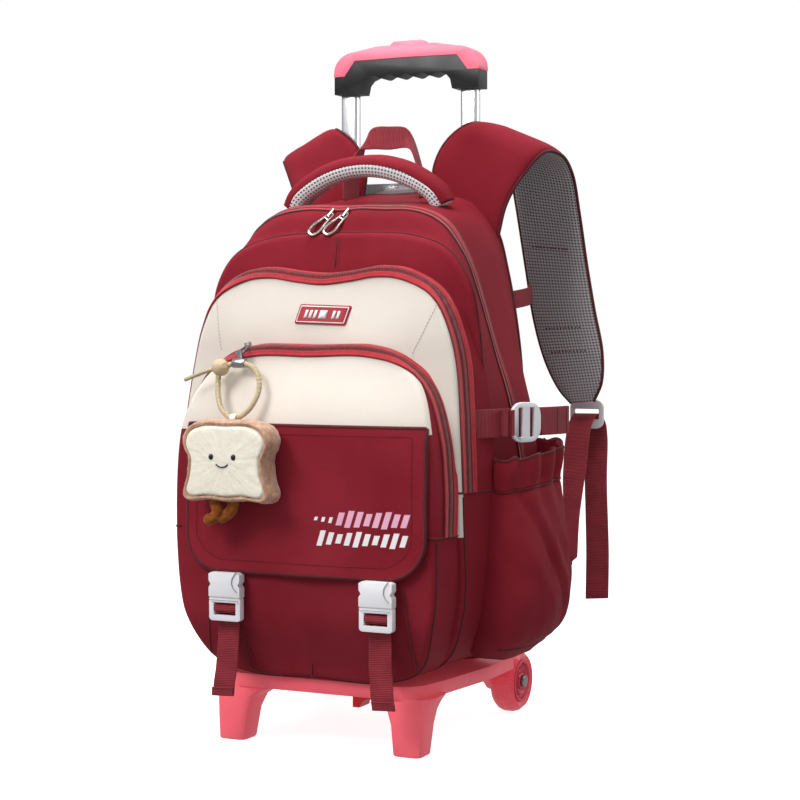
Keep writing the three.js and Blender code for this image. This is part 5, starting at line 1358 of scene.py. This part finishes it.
CORD_POINTS = [(-84.8, -218.2, 326.5), (-84.3, -219.6, 320), (-82, -223.9, 311.5), (-74, -230.9, 297.5),
               (-60, -233.9, 290), (-48, -229.9, 297.5), (-42, -221.9, 315.5), (-49, -215.9, 331.5),
               (-67, -211.9, 337.5), (-84, -215.9, 333.5), (-99, -217.9, 329.5), (-117, -221.9, 322.5)]
CORD_BEIGE = ribbed("charm_cord_fibre", srgb("e9dcbd"), srgb("bda77c"), 1.3, 0.2, 0.75)
BEAD = plastic("charm_bead", srgb("d3c2a0"), srgb("b59f78"), 0.45)
CREAM_PLUSH = plush("cream_plush", srgb("f6f0e1"), srgb("efe7d5"), 0.1)
BROWN_PLUSH = plush("brown_plush", srgb("cfab93"), srgb("a67e66"), 0.35)
LEG_PLUSH = plush("leg_plush", srgb("a5602a"), srgb("713810"), 0.25)
BREAD = [(0, 1), (.55, 1), (.88, .92), (1, .77), (.95, .64), (.88, .56), (.9, .3), (1, .06), (.9, 0),
         (.45, .02), (0, 0)]


BREAD_HALF = 43.5
BREAD_FOOT = 219
BREAD_TALL = 70
BREAD_X = -57
BREAD_FACE = -258


def bread_grid(inset, slices):
    """Rings of the bread's outline, one for each pair of a depth and a share of the outline's size."""
    right = [(a * (BREAD_HALF - inset), BREAD_FOOT + inset + b * (BREAD_TALL - 2 * inset)) for a, b in BREAD]
    left = [(-x, z) for x, z in right[-2:0:-1]]
    shape = resampled(smooth_curve(right + left, 10, closed=True), 140, closed=True)
    middle = BREAD_FOOT + BREAD_TALL / 2
    rings = []
    for depth, share in slices:
        x = BREAD_X + shape[:, 0] * share
        z = middle + (shape[:, 1] - middle) * share
        rings.append(np.stack([x, np.full_like(x, BREAD_FACE + depth), z], axis=1))
    return np.array(rings)


def fuzzed(grid, amount, seed):
    """Small lumps all over a plush surface."""
    normal = grid_normals(grid, wrap=True)
    lift = amount * soft_noise(grid, (2.6, 2.6, 2.6), seed)
    lift = lift + amount * 0.6 * soft_noise(grid, (1.3, 1.3, 1.3), seed + 1)
    return grid + normal * lift[..., None]


def make_charm():
    """The plush bread with its face and legs, and the cord that carries it."""
    crust_slices = [(4.0, s) for s in (0.3, 0.6, 0.8)] + [
        (4 - 3.0 * math.sin(t), 0.86 + 0.1 * (1 - math.cos(t))) for t in np.linspace(0, 1.4, 6)] + [
        (1.5 + 26 * t, 0.955 + 0.055 * math.sin(math.pi * t)) for t in np.linspace(0.05, 0.9, 22)] + [
        (28, s) for s in (0.86, 0.6, 0.3, 0.02)]
    crust = grid_object("charm_crust", fuzzed(bread_grid(0, crust_slices), 0.45, 61), BROWN_PLUSH, wrap=True)
    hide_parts("charm_toast")
    face_slices = [(4.2, 0.985)]
    face_slices += [(3.8 - 3.4 * math.sin(t), 0.985 - 0.05 * t) for t in np.linspace(0.2, 1.5, 7)]
    face_slices += [(0.35 - 0.8 * (1 - s), s) for s in (0.85, 0.7, 0.5, 0.3, 0.02)]
    crumb_grid = fuzzed(bread_grid(4.0, face_slices), 0.3, 63)
    crumb = grid_object("charm_crumb", crumb_grid, CREAM_PLUSH, wrap=True)
    for k, x in enumerate((-69, -47)):
        turns = np.linspace(0, 2 * math.pi, 24, endpoint=False)
        dome = [[(x + 2.3 * math.cos(a) * math.sin(e), -258.2 - 1.5 * math.cos(e),
                  258 + 2.6 * math.sin(a) * math.sin(e)) for a in turns] for e in np.linspace(1.57, 0.05, 7)]
        grid_object(f"charm_eye_{k}", np.array(dome), BLACK, wrap=True)
    smile = [(-58 + 6.0 * math.cos(a), -258.7, 253.5 + 4.2 * math.sin(a))
             for a in np.linspace(math.pi * 1.12, math.pi * 1.88, 18)]
    tube_object("charm_smile", smile, 0.62, BLACK, sides=7)
    front = [(-74, -246, 221), (-71, -246.6, 215), (-69, -247, 210), (-74, -247, 204), (-82, -248, 202)]
    back = [(-54, -245, 221), (-55, -245, 216), (-57, -245, 211), (-64, -244, 206), (-71, -244, 203)]
    for k, line in enumerate((front, back)):
        path = resampled(smooth_curve(line, 12), 36)
        steps = np.arange(36)
        radii = 5.0 * (1 + 0.05 * np.sin(steps * 2.3)) * np.minimum(1, np.sqrt((36 - steps) / 5.0))
        leg = tube_object(f"charm_leg_{k}", path, 5.0, LEG_PLUSH, sides=18, radii=radii)
    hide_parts("charm_legs")
    bent = ((-236.4, 286), (-237.4, 291), (-234, 293.6), (-230.4, 291), (-231.4, 286))
    tab = path_strip([(-60, y, z) for y, z in bent], 6, (1, 0, 0), 5, 30)
    thicken(grid_object("charm_tab", tab, CREAM_PLUSH), 0.9)
    route = resampled(smooth_curve(CORD_POINTS, 12), 420)
    along = arc_lengths(route[:, None, :], 0)[:, 0]
    ridge = np.abs(np.sin(along * math.pi / 3.9)) ** 0.7
    tail = np.clip((along - along[-1] + 36) / 3, 0, 1)
    radii = (2.05 + 0.5 * ridge) * (1 - tail) + 1.75 * tail
    cord = tube_object("charm_cord_wound", route, 2.3, CORD_BEIGE, sides=12, radii=radii)
    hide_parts("charm_cord")
    path = metres(resampled(route, 40)).tolist()


make_charm()


# Hard parts keep their CAD shape, with rounded edges and their own materials

def hard(names, material, bevel=0.8, segments=3, angle=32):
    """Gives CAD nodes a material and rounds their edges."""
    for name in names:
        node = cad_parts[name]
        if node.material_slots:
            node.material_slots[0].material = material
        else:
            node.data.materials.append(material)
        node.data.polygons.foreach_set("use_smooth", np.full(len(node.data.polygons), True))
        if bevel:
            weld = node.modifiers.new("weld", "WELD")
            weld.merge_threshold = 0.00002
            modifier = rounded_edges(node, bevel, segments, angle).modifiers[-1]
            modifier.use_clamp_overlap = True
            modifier.harden_normals = True


HUB = plastic("hub_pink", srgb("f0566c"), srgb("dc3f58"), 0.25)
hard(["tray_base"], PINK, 1.6)
hard(["stand_bracket"], RED_PLASTIC, 0.8)
hard(["tube_frame", "inner_tube_left", "inner_tube_right"], ALUMINIUM, 1.0, 3, 50)
hard(["handle_grip"], BLACK, 1.6)
hard(["handle_shell"], PINK_HANDLE, 2.2)
hard(["handle_button"], PINK_HANDLE, 1.4)
hard(["tyre_left", "tyre_right"], TYRE, 0.0)
hard(["hub_left", "hub_right"], HUB, 0.5)
hard(["wheel_bolt_left", "wheel_bolt_right"], STEEL, 0.4)
hard(["buckle_left", "buckle_right", "side_slider_right", "side_slider_left", "strap_adjuster_right",
      "strap_adjuster_left"], WHITE, 0.7)
hard(["main_left_slider", "main_left_pull", "main_right_slider", "main_right_pull", "upper_slider",
      "upper_pull", "lower_slider"], CHROME, 0.45)
hard(["charm_bead"], BEAD, 0.0)
hard(["charm_sleeve"], STEEL, 0.4)

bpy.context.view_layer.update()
